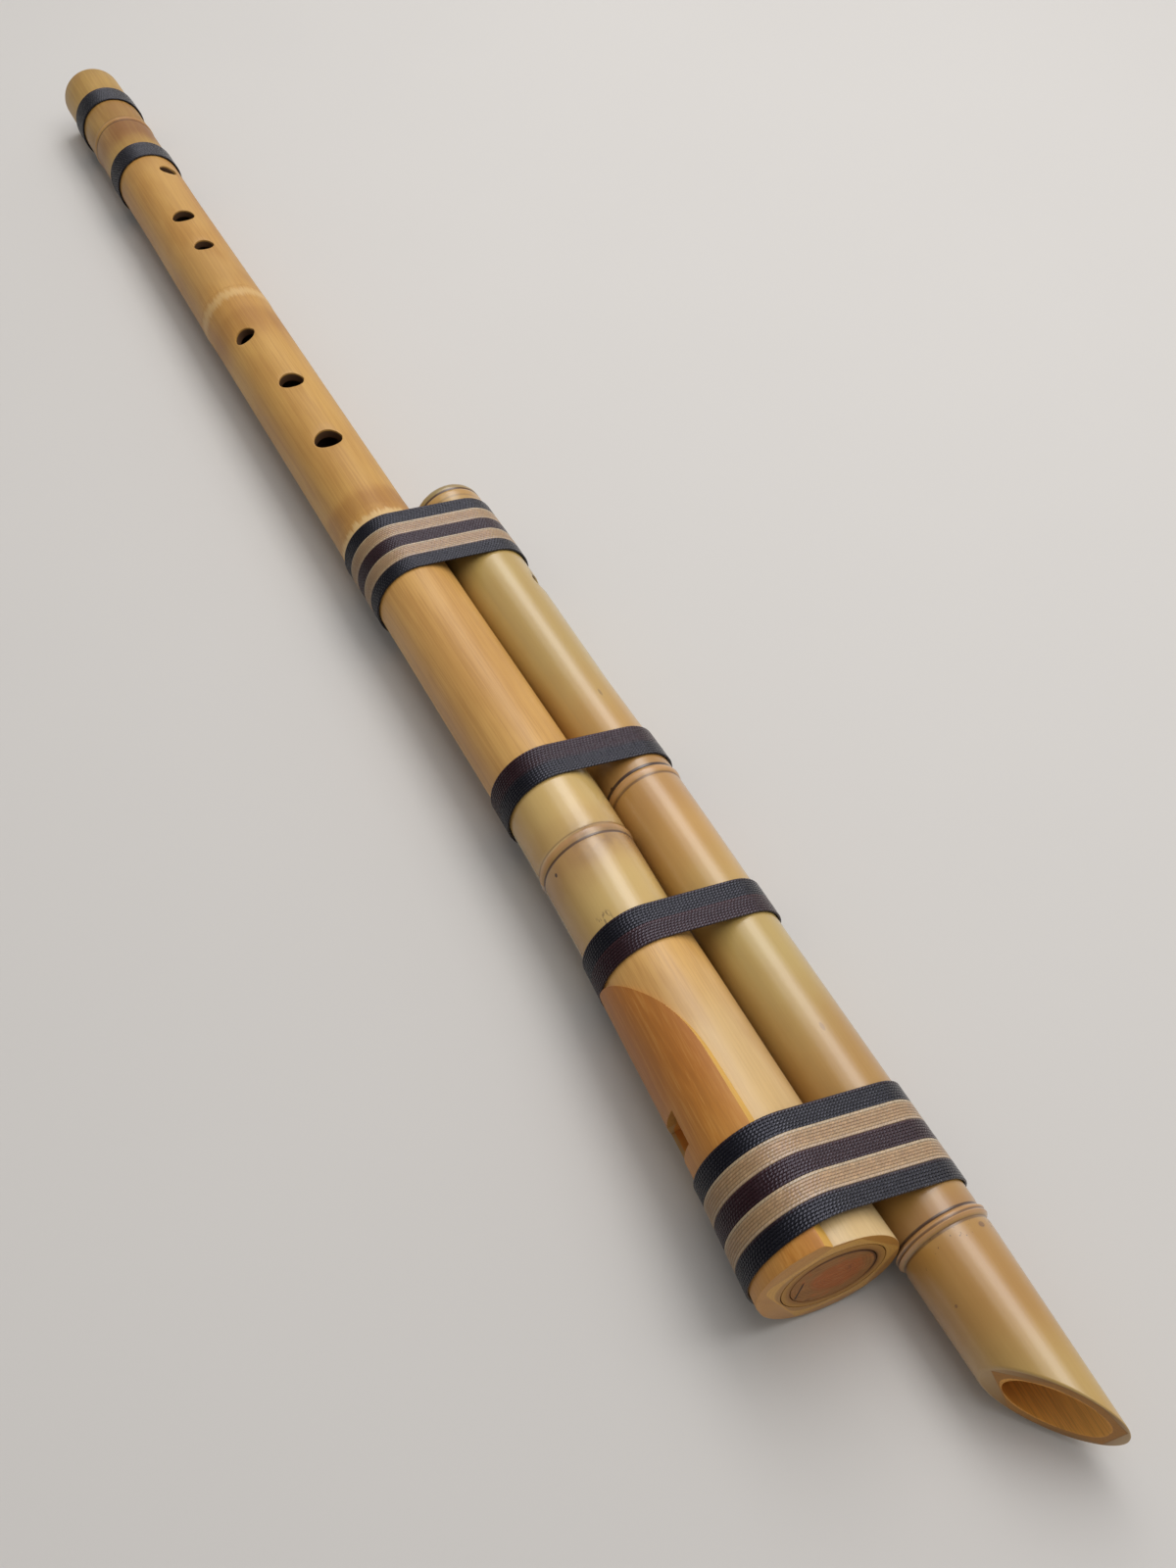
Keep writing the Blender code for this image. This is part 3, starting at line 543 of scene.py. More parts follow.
def main_tube_finish(colours):
    finish = Finish("sanded_bamboo")
    place, station, degrees, depth = bamboo_coordinates(finish)
    edge = wandering(finish, place, station, 7.0)
    colour = zones(finish, edge, colours.sanded, (
        (-9.0, -8.0, 100.0, 104.0, 1.0, colours.foot),
        (28.0, 44.0, 66.0, 74.0, 0.5, colours.foot_brown),
        (63.0, 66.0, 76.0, 92.0, 1.0, colours.foot_brown),
        (96.0, 104.0, 112.0, 126.0, 0.6, colours.burnt),
        (190.0, 212.0, 226.0, 240.0, 0.55, colours.burnt),
        (262.0, 290.0, 392.0, 400.0, 1.0, colours.golden_skin),
        (252.0, 260.0, 264.0, 284.0, 0.6, colours.burnt),
        (394.0, 402.0, 406.0, 411.0, 0.6, colours.burnt),
        (408.0, 470.0, 548.0, 552.0, 0.9, colours.amber),
    ))
    colour = zones(finish, station, colour, (
        (545.0, 550.0, 640.0, 641.0, 1.0, colours.skin),
        (622.0, 628.0, 800.0, 801.0, 1.0, colours.amber),
    ))
    colour = zones(finish, edge, colour, (
        (582.5, 584.0, 588.0, 607.0, 0.9, colours.smoke),
        (570.0, 578.0, 582.0, 586.0, 0.3, colours.smoke),
    ))
    crown = finish.math("MULTIPLY", finish.fade(edge, 628.0, 668.0), finish.fade(degrees, 128.0, 96.0))
    colour = finish.mix(crown, colour, colours.crown)
    colour = finish.mix(finish.math("MULTIPLY", crown, finish.fade(station, 700.0, 728.0)), colour, colours.tail_crown)
    raised = finish.attribute("raised", "Fac")
    flank = finish.mix(finish.fade(edge, 664.0, 696.0), colours.flank, colours.flank_tail)
    colour = finish.mix(finish.fade(raised, 0.55, 0.95), colour, flank)
    step = finish.math("MULTIPLY", finish.fade(raised, 0.1, 0.45), finish.fade(raised, 0.9, 0.55))
    colour = finish.mix(step, colour, colours.step)
    natural = finish.band(station, 553.0, 618.0, 2.0)
    # Painted shade: the natural skin is darkened on the side away from the window.
    aside = finish.math("MULTIPLY", natural, finish.fade(degrees, 112.0, 160.0))
    colour = finish.mix(finish.math("MULTIPLY", aside, 0.5), colour, (0.33, 0.155, 0.04))
    # Painted shade: the stretch from station 430 to 545 is darkened on the side away from the window.
    shaded = finish.math("MULTIPLY", finish.band(station, 430.0, 545.0, 12.0), finish.fade(degrees, 112.0, 160.0))
    colour = finish.mix(finish.math("MULTIPLY", shaded, 0.3), colour, (0.42, 0.175, 0.03))
    on_flank = finish.math("MULTIPLY", finish.fade(raised, 0.6, 0.9), finish.fade(degrees, 160.0, 120.0))
    amount = finish.math("ADD", finish.math("MULTIPLY", on_flank, 0.08), 0.24)
    calm = finish.math("ADD", finish.math("MULTIPLY", natural, 0.8), finish.math("MULTIPLY", crown, 0.5))
    amount = finish.math("MULTIPLY", amount, finish.math("SUBTRACT", 1.0, calm))
    colour, shade = grained(finish, place, colour, amount, 0.26)
    for at, reach, strength in ((244.0, 4.0, 0.5), (414.3, 3.0, 0.8)):
        feather = finish.noise(place, 900.0, 3.0, 0.6, (0.05, 1.0, 1.0))
        frayed = finish.math("ADD", station, finish.math("MULTIPLY", finish.math("SUBTRACT", feather, 0.5), 9.0))
        ring = finish.band(frayed, at - 0.7, at + 0.7, reach)
        colour = finish.mix(finish.math("MULTIPLY", ring, strength), colour, colours.node_ring)
        dots = finish.noise(place, 1500.0, 2.0, 0.5, (0.5, 1.0, 1.0))
        line = finish.math("MULTIPLY", finish.band(station, at - 5.4, at - 4.6, 0.5), finish.fade(dots, 0.45, 0.6))
        colour = finish.mix(finish.math("MULTIPLY", line, 0.5), colour, colours.burnt)
    for at, strength in ((62.8, 0.45), (584.4, 0.6)):
        ridge = finish.band(station, at - 0.4, at + 0.7, 0.45)
        colour = finish.mix(finish.math("MULTIPLY", ridge, strength), colour, colours.ridge)
        for groove_at, strength, width in ((at - 1.8, 0.4, 0.12), (at + 2.1, 0.85, 0.22)):
            groove = finish.band(station, groove_at - width, groove_at + width, 0.45)
            colour = finish.mix(finish.math("MULTIPLY", groove, strength), colour, colours.scorch)
    bruise = finish.noise(place, 130.0, 3.0, 0.6)
    patch = finish.math("MULTIPLY", finish.band(station, 586.5, 588.5, 9.0), finish.fade(bruise, 0.30, 0.70))
    patch = finish.math("MULTIPLY", patch, finish.fade(degrees, 128.0, 92.0))
    colour = finish.mix(finish.math("MULTIPLY", patch, 0.5), colour, (0.17, 0.10, 0.075))
    colour = spots(finish, station, degrees, 15.9, colour, (
        (590.5, 144.0, 0.8, 0.6, 0.95, (0.05, 0.02, 0.008)),
    ))
    scratch = finish.noise(place, 1400.0, 2.0, 0.5, (0.25, 1.0, 1.0))
    scratched = finish.math("MULTIPLY", finish.band(station, 613.5, 618.5, 1.5), finish.band(degrees, 112.0, 124.0, 5.0))
    scratched = finish.math("MULTIPLY", scratched, finish.fade(scratch, 0.52, 0.60))
    colour = finish.mix(finish.math("MULTIPLY", scratched, 0.6), colour, (0.12, 0.07, 0.04))
    inside = finish.fade(depth, 0.55, 0.95)
    pores = finish.noise(place, 2600.0, 2.0, 0.5, (0.05, 1.0, 1.0))
    rings = finish.math("SINE", finish.math("MULTIPLY", depth, 5.2))
    cut = finish.mix(finish.math("MULTIPLY", finish.fade(pores, 0.52, 0.66), 0.3), colours.pith, (0.30, 0.13, 0.03))
    cut = finish.mix(finish.math("MULTIPLY", finish.fade(rings, 0.3, 1.0), 0.2), cut, (0.38, 0.17, 0.04))
    cut = finish.mix(finish.math("MULTIPLY", finish.fade(depth, 3.4, 4.6), 0.7), cut, colours.plug_edge)
    edge_line = finish.math("MULTIPLY", finish.fade(depth, 0.9, 0.2), 0.5)
    cut = finish.mix(edge_line, cut, colours.flank)
    tail = finish.fade(station, 726.0, 729.0)
    # Painted shade: the finger holes and the bore take the dark hole colour, and the window's walls fade to it deeper
    # than 5 mm.
    window = finish.mix(finish.fade(depth, 4.2, 5.0), (0.72, 0.31, 0.06), colours.hole)
    wall = finish.mix(finish.fade(station, 655.0, 660.0), colours.hole, window)
    wall = finish.mix(tail, wall, cut)
    colour = finish.mix(finish.math("MAXIMUM", inside, finish.math("MULTIPLY", tail, finish.cut_face(0.8))), colour, wall)
    smooth = finish.math("MULTIPLY", finish.fade(station, 425.0, 470.0), 0.08)
    smooth = finish.math("ADD", smooth, finish.math("MULTIPLY", natural, 0.17))
    smooth = finish.math("ADD", smooth, finish.math("MULTIPLY", finish.fade(station, 628.0, 634.0), 0.06))
    rough = finish.math("ADD", finish.math("MULTIPLY", shade, 0.14), 0.40)
    rough = finish.math("SUBTRACT", rough, smooth)
    rough = finish.math("ADD", rough, finish.math("MULTIPLY", finish.math("MAXIMUM", inside, raised), 0.14))
    finish.set(Base_Color=colour, Roughness=rough, Specular_IOR_Level=0.45)
    coat = finish.math("MULTIPLY", natural, finish.fade(degrees, 150.0, 105.0))
    finish.set(Coat_Weight=finish.math("MULTIPLY", coat, 0.7), Coat_Roughness=0.22)
    finish.set(Normal=finish.bump(shade, 0.00006, 0.4))
    return finish.material


def duct_tube_finish(colours):
    finish = Finish("natural_bamboo")
    place, station, degrees, depth = bamboo_coordinates(finish)
    edge = wandering(finish, place, station, 9.0)
    colour = zones(finish, edge, colours.duct, (
        (380.0, 390.0, 410.0, 422.0, 0.8, colours.duct_brown),
        (500.0, 545.0, 560.0, 575.0, 0.8, colours.duct_brown),
        (560.0, 568.0, 590.0, 640.0, 1.0, colours.duct_brown),
        (645.0, 690.0, 740.0, 742.0, 0.9, colours.duct_tan),
        (738.0, 740.0, 756.0, 796.0, 1.0, colours.duct_tan),
        (776.0, 800.0, 830.0, 840.0, 0.55, colours.duct_tan),
    ))
    colour = zones(finish, station, colour, (
        (401.0, 402.0, 407.2, 408.0, 1.0, (0.30, 0.215, 0.08)),
        (565.0, 568.0, 574.0, 592.0, 0.6, (0.36, 0.165, 0.045)),
        (548.0, 556.0, 563.0, 565.0, 0.7, (0.33, 0.15, 0.04)),
        (560.0, 563.5, 564.0, 565.0, 0.5, colours.smoke),
        (727.0, 733.5, 734.5, 735.5, 0.75, colours.smoke),
    ))
    colour, shade = grained(finish, place, colour, 0.05, 0.16)
    for at, reach in ((566.3, 0.9), (736.3, 1.1)):
        colour = finish.mix(finish.math("MULTIPLY", finish.band(station, at - reach, at + reach, 0.4), 0.8), colour, colours.ridge)
    for at, strength, width in (
        (408.1, 0.9, 0.35), (412.0, 0.3, 0.3), (564.3, 1.0, 0.5), (568.3, 0.55, 0.25),
        (734.5, 0.95, 0.3), (736.4, 0.7, 0.15), (738.4, 0.6, 0.25),
    ):
        groove = finish.band(station, at - width, at + width, 0.4)
        colour = finish.mix(finish.math("MULTIPLY", groove, strength), colour, colours.scorch)
    speck = finish.noise(place, 900.0, 2.0, 0.5)
    near_node = finish.band(station, 739.5, 742.0, 3.0)
    specks = finish.math("MULTIPLY", near_node, finish.fade(speck, 0.68, 0.74))
    colour = finish.mix(finish.math("MULTIPLY", specks, 0.8), colour, (0.07, 0.03, 0.015))
    colour = spots(finish, station, degrees, 12.8, colour, (
        (564.0, 145.0, 0.9, 0.8, 0.9, (0.05, 0.02, 0.01)),
        (673.0, 84.0, 1.6, 0.6, 0.45, (0.20, 0.10, 0.05)),
        (528.0, 71.0, 1.8, 0.5, 0.5, (0.16, 0.09, 0.05)),
        (741.0, 54.0, 0.9, 1.2, 0.6, (0.12, 0.05, 0.03)),
        (755.0, 139.0, 0.5, 0.5, 0.6, (0.14, 0.06, 0.03)),
    ))
    inside = finish.fade(depth, 0.35, 0.75)
    pores = finish.noise(place, 2400.0, 2.0, 0.5, (0.03, 1.0, 1.0))
    cut = finish.mix(finish.math("MULTIPLY", finish.fade(pores, 0.5, 0.66), 0.3), colours.mouth, (0.26, 0.11, 0.03))
    golden = finish.mix(finish.math("MULTIPLY", finish.fade(pores, 0.45, 0.62), 0.4), colours.golden, (0.32, 0.15, 0.03))
    cut = finish.mix(finish.fade(depth, 2.9, 3.2), cut, golden)
    cut = finish.mix(finish.math("MULTIPLY", finish.fade(depth, 1.1, 0.5), 0.6), cut, (0.17, 0.07, 0.02))
    # Painted shade: cut surfaces inside the duct towards the blow hole take the dark hole colour.
    hole = finish.fade(station, 640.0, 600.0)
    cut = finish.mix(hole, cut, colours.hole)
    colour = finish.mix(inside, colour, cut)
    rough = finish.math("ADD", finish.math("MULTIPLY", shade, 0.14), 0.25)
    rough = finish.math("ADD", rough, finish.math("MULTIPLY", inside, 0.35))
    coat = finish.math("MULTIPLY", finish.math("SUBTRACT", 1.0, inside), 0.7)
    finish.set(Base_Color=colour, Roughness=rough, Coat_Weight=coat, Coat_Roughness=0.22)
    finish.set(Normal=finish.bump(shade, 0.00003, 0.4))
    return finish.material


def thread_finish(name, body, first_edge, last_edge, gleam, gloss, relief, sheen, core=None):
    """Twisted waxed thread: share across the band, way along the thread and turn round it are stored."""
    finish = Finish(name)
    across, along, around = finish.split(finish.attribute("wound"))
    colour = body
    stretch = finish.node("ShaderNodeCombineXYZ", {0: finish.math("MULTIPLY", across, 60.0), 1: along, 2: 0.0})
    streak = finish.noise(stretch.outputs[0], 1.0, 3.0, 0.6, (1.0, 0.32, 1.0))
    fleck = finish.noise(stretch.outputs[0], 1.0, 2.0, 0.6, (1.0, 1.7, 1.0))
    if core:
        heart = finish.math("MULTIPLY", finish.band(across, 0.3, 0.66, 0.16), finish.fade(streak, 0.36, 0.6))
        colour = finish.mix(finish.math("MULTIPLY", heart, 0.75), colour, core)
    colour = finish.mix(finish.fade(across, 0.17, 0.10), colour, first_edge)
    colour = finish.mix(finish.fade(across, 0.84, 0.91), colour, last_edge)
    light = tuple(min(1.0, value * 1.5 + 0.012) for value in body)
    dark = tuple(value * 0.4 for value in body)
    colour = finish.mix(finish.math("MULTIPLY", finish.fade(streak, 0.5, 0.66), 0.45), colour, light)
    colour = finish.mix(finish.math("MULTIPLY", finish.fade(fleck, 0.48, 0.36), 0.45), colour, dark)
    # Painted shade in the grooves between the twisted strands.
    phase = finish.math("ADD", finish.math("MULTIPLY", along, 5.4), finish.math("MULTIPLY", around, 6.0 * math.pi))
    twist = finish.math("SINE", phase)
    colour = finish.mix(finish.math("MULTIPLY", finish.fade(twist, -0.3, -1.0), 0.35), colour, dark)
    # Painted shade on the flanks of each turn, in the crevices between turns.
    crest = finish.math("SINE", finish.math("MULTIPLY", around, 2.0 * math.pi))
    colour = finish.mix(finish.math("MULTIPLY", finish.fade(crest, 0.85, 0.25), 0.6), colour, dark)
    # Painted shade on the side of the band facing away from the window, where the gloss, coat and sheen are also
    # weakened.
    facing = finish.split(finish.node("ShaderNodeNewGeometry").outputs["True Normal"])[1]
    lit = finish.fade(facing, -0.55, 0.15)
    colour = finish.mix(finish.math("MULTIPLY", finish.math("SUBTRACT", 1.0, lit), 0.4), colour, dark)
    height = finish.math("ADD", finish.math("MULTIPLY", twist, 0.35), finish.math("MULTIPLY", fleck, 0.9))
    gloss = finish.math("MULTIPLY", finish.math("ADD", finish.math("MULTIPLY", lit, 0.6), 0.4), gloss)
    rough = finish.math("ADD", finish.math("MULTIPLY", fleck, 0.4), gleam - 0.2)
    finish.set(Base_Color=colour, Roughness=rough, Specular_IOR_Level=gloss, Specular_Tint=(0.80, 0.79, 1.0))
    relief = finish.bump(height, relief, 1.0)
    finish.set(Normal=relief, Coat_Normal=relief, Coat_Weight=finish.math("MULTIPLY", lit, 0.3), Coat_Roughness=0.14)
    finish.set(Sheen_Weight=finish.math("MULTIPLY", lit, sheen), Sheen_Roughness=0.35, Sheen_Tint=(1.0, 0.97, 0.94))
    return finish.material


def from_centre(finish, centre):
    """Distance in millimetres from the line through a centre along X, and the place itself."""
    place = finish.node("ShaderNodeTexCoord").outputs["Object"]
    offset = finish.node(
        "ShaderNodeVectorMath", {0: place, 1: (0.0, centre.y * MM, centre.z * MM)}, operation="SUBTRACT"
    ).outputs[0]
    along, across, up = finish.split(offset)
    square = finish.math("ADD", finish.math("MULTIPLY", across, across), finish.math("MULTIPLY", up, up))
    return finish.math("MULTIPLY", finish.math("SQRT", square), 1000.0), offset


def plug_centre():
    return main_axis(TAIL_AT) + Vector((0.0, *PLUG_SHIFT))


def plug_finish(colours):
    finish = Finish("plug_wood")
    radius, offset = from_centre(finish, plug_centre())
    cloud = finish.noise(offset, 160.0, 3.0, 0.55)
    wavy = finish.math("ADD", radius, finish.math("MULTIPLY", cloud, 2.4))
    along, across, up = finish.split(offset)
    skewed = finish.math("ADD", wavy, finish.math("MULTIPLY", across, -170.0))
    colour = finish.mix(finish.fade(skewed, 7.0, 10.0), colours.plug, colours.plug_edge)
    rings = finish.math("SINE", finish.math("MULTIPLY", wavy, 6.5))
    colour = finish.mix(finish.math("MULTIPLY", finish.fade(rings, 0.2, 1.0), 0.3), colour, (0.21, 0.09, 0.03))
    rust = finish.noise(offset, 330.0, 3.0, 0.55)
    colour = finish.mix(finish.math("MULTIPLY", finish.fade(rust, 0.52, 0.68), 0.5), colour, (0.50, 0.14, 0.03))
    colour = finish.mix(finish.math("MULTIPLY", finish.fade(rust, 0.42, 0.30), 0.5), colour, (0.20, 0.075, 0.025))
    scrape = finish.noise(offset, 1500.0, 2.0, 0.5, (1.0, 0.12, 1.0))
    colour = finish.mix(finish.math("MULTIPLY", finish.fade(scrape, 0.52, 0.62), 0.3), colour, (0.55, 0.24, 0.08))
    crack_line = finish.math("ABSOLUTE", finish.math("ADD", finish.math("ADD", across, 0.0094), finish.math("MULTIPLY", up, -0.25)))
    crack = finish.math("MULTIPLY", finish.fade(crack_line, 0.0004, 0.00012), finish.band(up, -0.0045, 0.003, 0.001))
    colour = finish.mix(crack, colour, (0.03, 0.014, 0.008))
    # A dark joint round the plug's heart, deepened by a painted shadow on the side towards the window.
    side = finish.fade(finish.math("ADD", across, up), -0.006, 0.010)
    rim = finish.math("MULTIPLY", finish.fade(radius, 11.3, 11.9), finish.math("ADD", finish.math("MULTIPLY", side, 0.85), 0.05))
    colour = finish.mix(rim, colour, (0.10, 0.045, 0.02))
    finish.set(Base_Color=colour, Roughness=0.6, Specular_IOR_Level=0.25, Normal=finish.bump(rings, 0.00005, 0.4))
    return finish.material


def packing_finish(colours):
    finish = Finish("packing")
    radius, offset = from_centre(finish, plug_centre())
    along, across, up = finish.split(offset)
    fibre = finish.noise(offset, 500.0, 3.0, 0.6)
    wavy = finish.math("ADD", radius, finish.math("MULTIPLY", fibre, 0.7))
    colour = finish.mix(finish.fade(wavy, 12.8, 14.8), colours.plug_edge, (0.50, 0.26, 0.065))
    # A dark joint along the packing's inner edge, deepened by a painted shadow on the side towards the window.
    side = finish.fade(finish.math("ADD", across, up), -0.006, 0.010)
    dark = finish.math("MULTIPLY", finish.fade(radius, 13.0, 12.3), finish.math("ADD", finish.math("MULTIPLY", side, 0.75), 0.02))
    colour = finish.mix(dark, colour, (0.07, 0.03, 0.014))
    rings = finish.math("SINE", finish.math("MULTIPLY", wavy, 7.0))
    colour = finish.mix(finish.math("MULTIPLY", finish.fade(rings, 0.2, 1.0), 0.15), colour, (0.24, 0.12, 0.045))
    finish.set(Base_Color=colour, Roughness=0.6, Specular_IOR_Level=0.25, Normal=finish.bump(fibre, 0.00005, 0.5))
    return finish.material


def block_finish(colours):
    finish = Finish("block_wood")
    place = finish.node("ShaderNodeTexCoord").outputs["Object"]
    grain = finish.noise(place, 500.0, 4.0, 0.6, (0.06, 1.0, 1.0))
    colour = finish.mix(finish.fade(grain, 0.4, 0.65), (0.58, 0.36, 0.12), (0.74, 0.5, 0.2))
    finish.set(Base_Color=colour, Roughness=0.5, Normal=finish.bump(grain, 0.00008, 0.5))
    return finish.material


def wax_finish(colours):
    finish = Finish("wax")
    place = finish.node("ShaderNodeTexCoord").outputs["Object"]
    cloud = finish.noise(place, 300.0, 3.0)
    colour = finish.mix(finish.fade(cloud, 0.35, 0.65), (0.2, 0.11, 0.035), (0.36, 0.23, 0.08))
    finish.set(Base_Color=colour, Roughness=0.42, Normal=finish.bump(cloud, 0.0002, 0.5))
    return finish.material


# Operators, one for each piece or group of like pieces


def through(points, steps):
    """A smooth curve through points, as many steps between each pair."""
    padded = (points[0], *points, points[-1])
    curve = []
    for first, second, third, fourth in zip(padded, padded[1:], padded[2:], padded[3:]):
        for step in range(steps):
            share = step / steps
            curve.append(tuple(
                0.5 * (2 * b + (c - a) * share + (2 * a - 5 * b + 4 * c - d) * share**2 + (3 * b - a - 3 * c + d) * share**3)
                for a, b, c, d in zip(first, second, third, fourth)
            ))
    return [*curve, points[-1]]


def flank_side():
    """A solid on the flank's side of its upper edge, which slopes down to the crown."""
    bm = bmesh.new()
    rings = []
    for station, degrees, slope in through(FLANK_EDGE, 5):
        edge = Vector((station, *flank_shift(station))) + outward(degrees) * radius_at(MAIN_OUTLINE, station)
        down = outward(-slope)
        aside = Vector((0.0, -60.0, 0.0))
        top, knee = edge - down * 14.0, edge + down * 7.0
        bottom = Vector((station, edge.y, -60.0))
        rings.append([bm.verts.new(corner) for corner in (top, knee, bottom, bottom + aside, top + aside)])
    for ring, following in zip(rings, rings[1:]):
        for corner in range(5):
            after = (corner + 1) % 5
            bm.faces.new((ring[corner], ring[after], following[after], following[corner]))
    bm.faces.new(rings[0])
    bm.faces.new(rings[-1])
    bmesh.ops.triangulate(bm, faces=bm.faces)
    bmesh.ops.recalc_face_normals(bm, faces=bm.faces)
    mesh = bpy.data.meshes.new("flank_side")
    bm.to_mesh(mesh)
    bm.free()
    solid = bpy.data.objects.new("flank_side", mesh)
    bpy.context.scene.collection.objects.link(solid)
    return solid


def cut_window(tube):
    """The sounding window, and the scooped ramp that thins its foot edge to a lip."""
    out = outward(WINDOW_ANGLE)
    along = Vector((1.0, 0.0, 0.0))
    aside = along.cross(out)
    turn = Matrix((along, out, aside)).transposed().to_4x4()
    deselect()
    bpy.ops.mesh.primitive_cube_add(size=1.0)
    tool = bpy.context.object
    depth = 14.0
    middle = Vector((WINDOW_AT + WINDOW_LENGTH / 2, 0.0, 0.0)) + out * (WINDOW_FLOOR + depth / 2)
    tool.data.transform(Matrix.Translation(middle) @ turn @ Matrix.Diagonal((WINDOW_LENGTH, depth, WINDOW_WIDTH, 1.0)))
    shape(tube, tool)
    foot = WINDOW_AT - LIP_RAMP_LENGTH
    across, up = flank_shift(foot)
    top = Vector((0.0, across, up)).dot(out) + radius_at(MAIN_OUTLINE, foot)
    lip = Vector((WINDOW_AT, 0.0, 0.0)) + out * LIP_HEIGHT
    start = Vector((foot, 0.0, 0.0)) + out * top
    run = (lip - start).normalized()
    rise = aside.cross(run).normalized()
    if rise.dot(out) < 0:
        rise = -rise
    bpy.ops.mesh.primitive_cylinder_add(vertices=96, radius=0.5, depth=1.0)
    scoop = bpy.context.object
    turn = Matrix((run, aside, rise)).transposed().to_4x4()
    centre = lip + rise * 7.0 + run * 2.0
    length = 2 * (LIP_RAMP_LENGTH + 3.5)
    scoop.data.transform(Matrix.Translation(centre) @ turn @ Matrix.Diagonal((length, WINDOW_WIDTH, 14.0, 1.0)))
    trim(scoop, lip + run * 0.4, run)
    shape(tube, scoop)


class FLUTE_OT_main_tube(bpy.types.Operator):
    """Build the main tube with its raised flank, finger holes and sounding window"""

    bl_idname = "flute.main_tube"
    bl_label = "Main tube"

    def execute(self, context):
        sizes = context.scene.flute_sizes
        sides = sizes.tube_sides
        tube = drawn_tube("bamboo_main_tube", with_rings(MAIN_OUTLINE, RING_SPACING, 600.0), sides)
        first = FLANK_NOSE_AT - 0.9
        outline = [(first, radius_at(MAIN_OUTLINE, first))]
        outline += [point for point in MAIN_OUTLINE if first < point[0] < 738.0]
        outline += [(738.0, 20.2)]
        flank = drawn_tube("flank", outline, sides, flank_shift)
        shape(flank, flank_side(), "INTERSECT")
        shape(tube, flank, "UNION")
        tail_normal = straightened(Vector((1.0, -0.099, 0.0)), MAIN_BEND, MAIN_CLIMB)
        trim(tube, Vector((TAIL_AT, 0.0, 0.0)), tail_normal)
        shape(tube, drawn_tube("bore", MAIN_BORE, sides))
        shape(tube, drawn_tube("seat", PLUG_SEAT, sides, lambda station: PLUG_SHIFT))
        for station, degrees, diameter in FINGER_HOLES:
            start = Vector((station, 0.0, 0.0)) + outward(degrees) * 2.0
            shape(tube, drill_bar("finger_hole", start, start + outward(degrees) * 20.0, diameter))
        cut_window(tube)
        start = Vector((TRANSFER_AT, 0.0, 0.0))
        run = duct_axis(TRANSFER_AT) - main_axis(TRANSFER_AT)
        shape(tube, drill_bar("transfer", start, start + run, TRANSFER_DIAMETER))
        tidy(tube, 0.02)

        def near_rim(point):
            radius = math.hypot(point.y, point.z)
            if radius < radius_at(MAIN_OUTLINE, point.x) - 0.35:
                return False
            return point.x < 2.0 or any(abs(point.x - hole[0]) < hole[2] for hole in FINGER_HOLES) or point.x > 725.0

        soften(tube, near_rim, sizes.rim_softness / MM)

        self.mark_flank(tube)
        lay_on_axis(tube, main_axis, MAIN_OUTLINE)
        finish(tube, main_tube_finish(context.scene.flute_colours), "main_tube", "sanded_bamboo")
        return {"FINISHED"}

    def mark_flank(self, tube):
        """Marks each face: 1 on the raised flank, 0.5 on the step of its edge, 0 elsewhere."""
        marks = [0.0] * len(tube.data.polygons)
        for face in tube.data.polygons:
            middle = face.center
            if middle.x < FLANK_NOSE_AT - 1.0:
                continue
            across, up = flank_shift(middle.x)
            radius = radius_at(MAIN_OUTLINE, middle.x)
            beyond = math.hypot(middle.y, middle.z) - radius
            off_flank = abs(math.hypot(middle.y - across, middle.z - up) - radius)
            if off_flank < 0.15 and beyond > 0.02:
                marks[face.index] = 1.0
            elif beyond > 0.06:
                marks[face.index] = 0.5
        tube.data.attributes.new("raised", "FLOAT", "FACE").data.foreach_set("value", marks)


class FLUTE_OT_duct_tube(bpy.types.Operator):
    """Build the air duct tube with its blow hole and slanting mouth"""

    bl_idname = "flute.duct_tube"
    bl_label = "Air duct tube"

    def execute(self, context):
        sizes = context.scene.flute_sizes
        sides = sizes.tube_sides
        tube = drawn_tube("bamboo_duct_tube", with_rings(DUCT_OUTLINE, RING_SPACING, 560.0), sides)
        mouth_at = FLUTE_LENGTH - math.hypot(1.24, 0.188) * 11.8
        normal = straightened(Vector((1.0, -1.24, 0.188)), DUCT_BEND, DUCT_CLIMB)
        trim(tube, Vector((mouth_at, 0.0, 0.0)), normal)
        shape(tube, drawn_tube("bore", DUCT_BORE, sides))
        shape(tube, drawn_tube("mouth_bore", MOUTH_BORE, sides))
        station, degrees, diameter = BLOW_HOLE
        start = Vector((station, 0.0, 0.0)) + outward(degrees) * 2.0
        shape(tube, drill_bar("blow_hole", start, start + outward(degrees) * 18.0, diameter))
        start = Vector((TRANSFER_AT, 0.0, 0.0))
        run = main_axis(TRANSFER_AT) - duct_axis(TRANSFER_AT)
        shape(tube, drill_bar("transfer", start, start + run, TRANSFER_DIAMETER))
        tidy(tube, 0.02)

        def outer(point):
            return math.hypot(point.y, point.z) > radius_at(DUCT_OUTLINE, point.x) - 0.3

        soften(tube, lambda point: outer(point) and abs(point.x - BLOW_HOLE[0]) < 8.0, sizes.rim_softness / MM)
        soften(tube, lambda point: outer(point) and point.x > 745.0, sizes.mouth_softness / MM, 30.0, 3)
        lay_on_axis(tube, duct_axis, DUCT_OUTLINE)
        finish(tube, duct_tube_finish(context.scene.flute_colours), "air_duct_tube", "natural_bamboo")
        return {"FINISHED"}


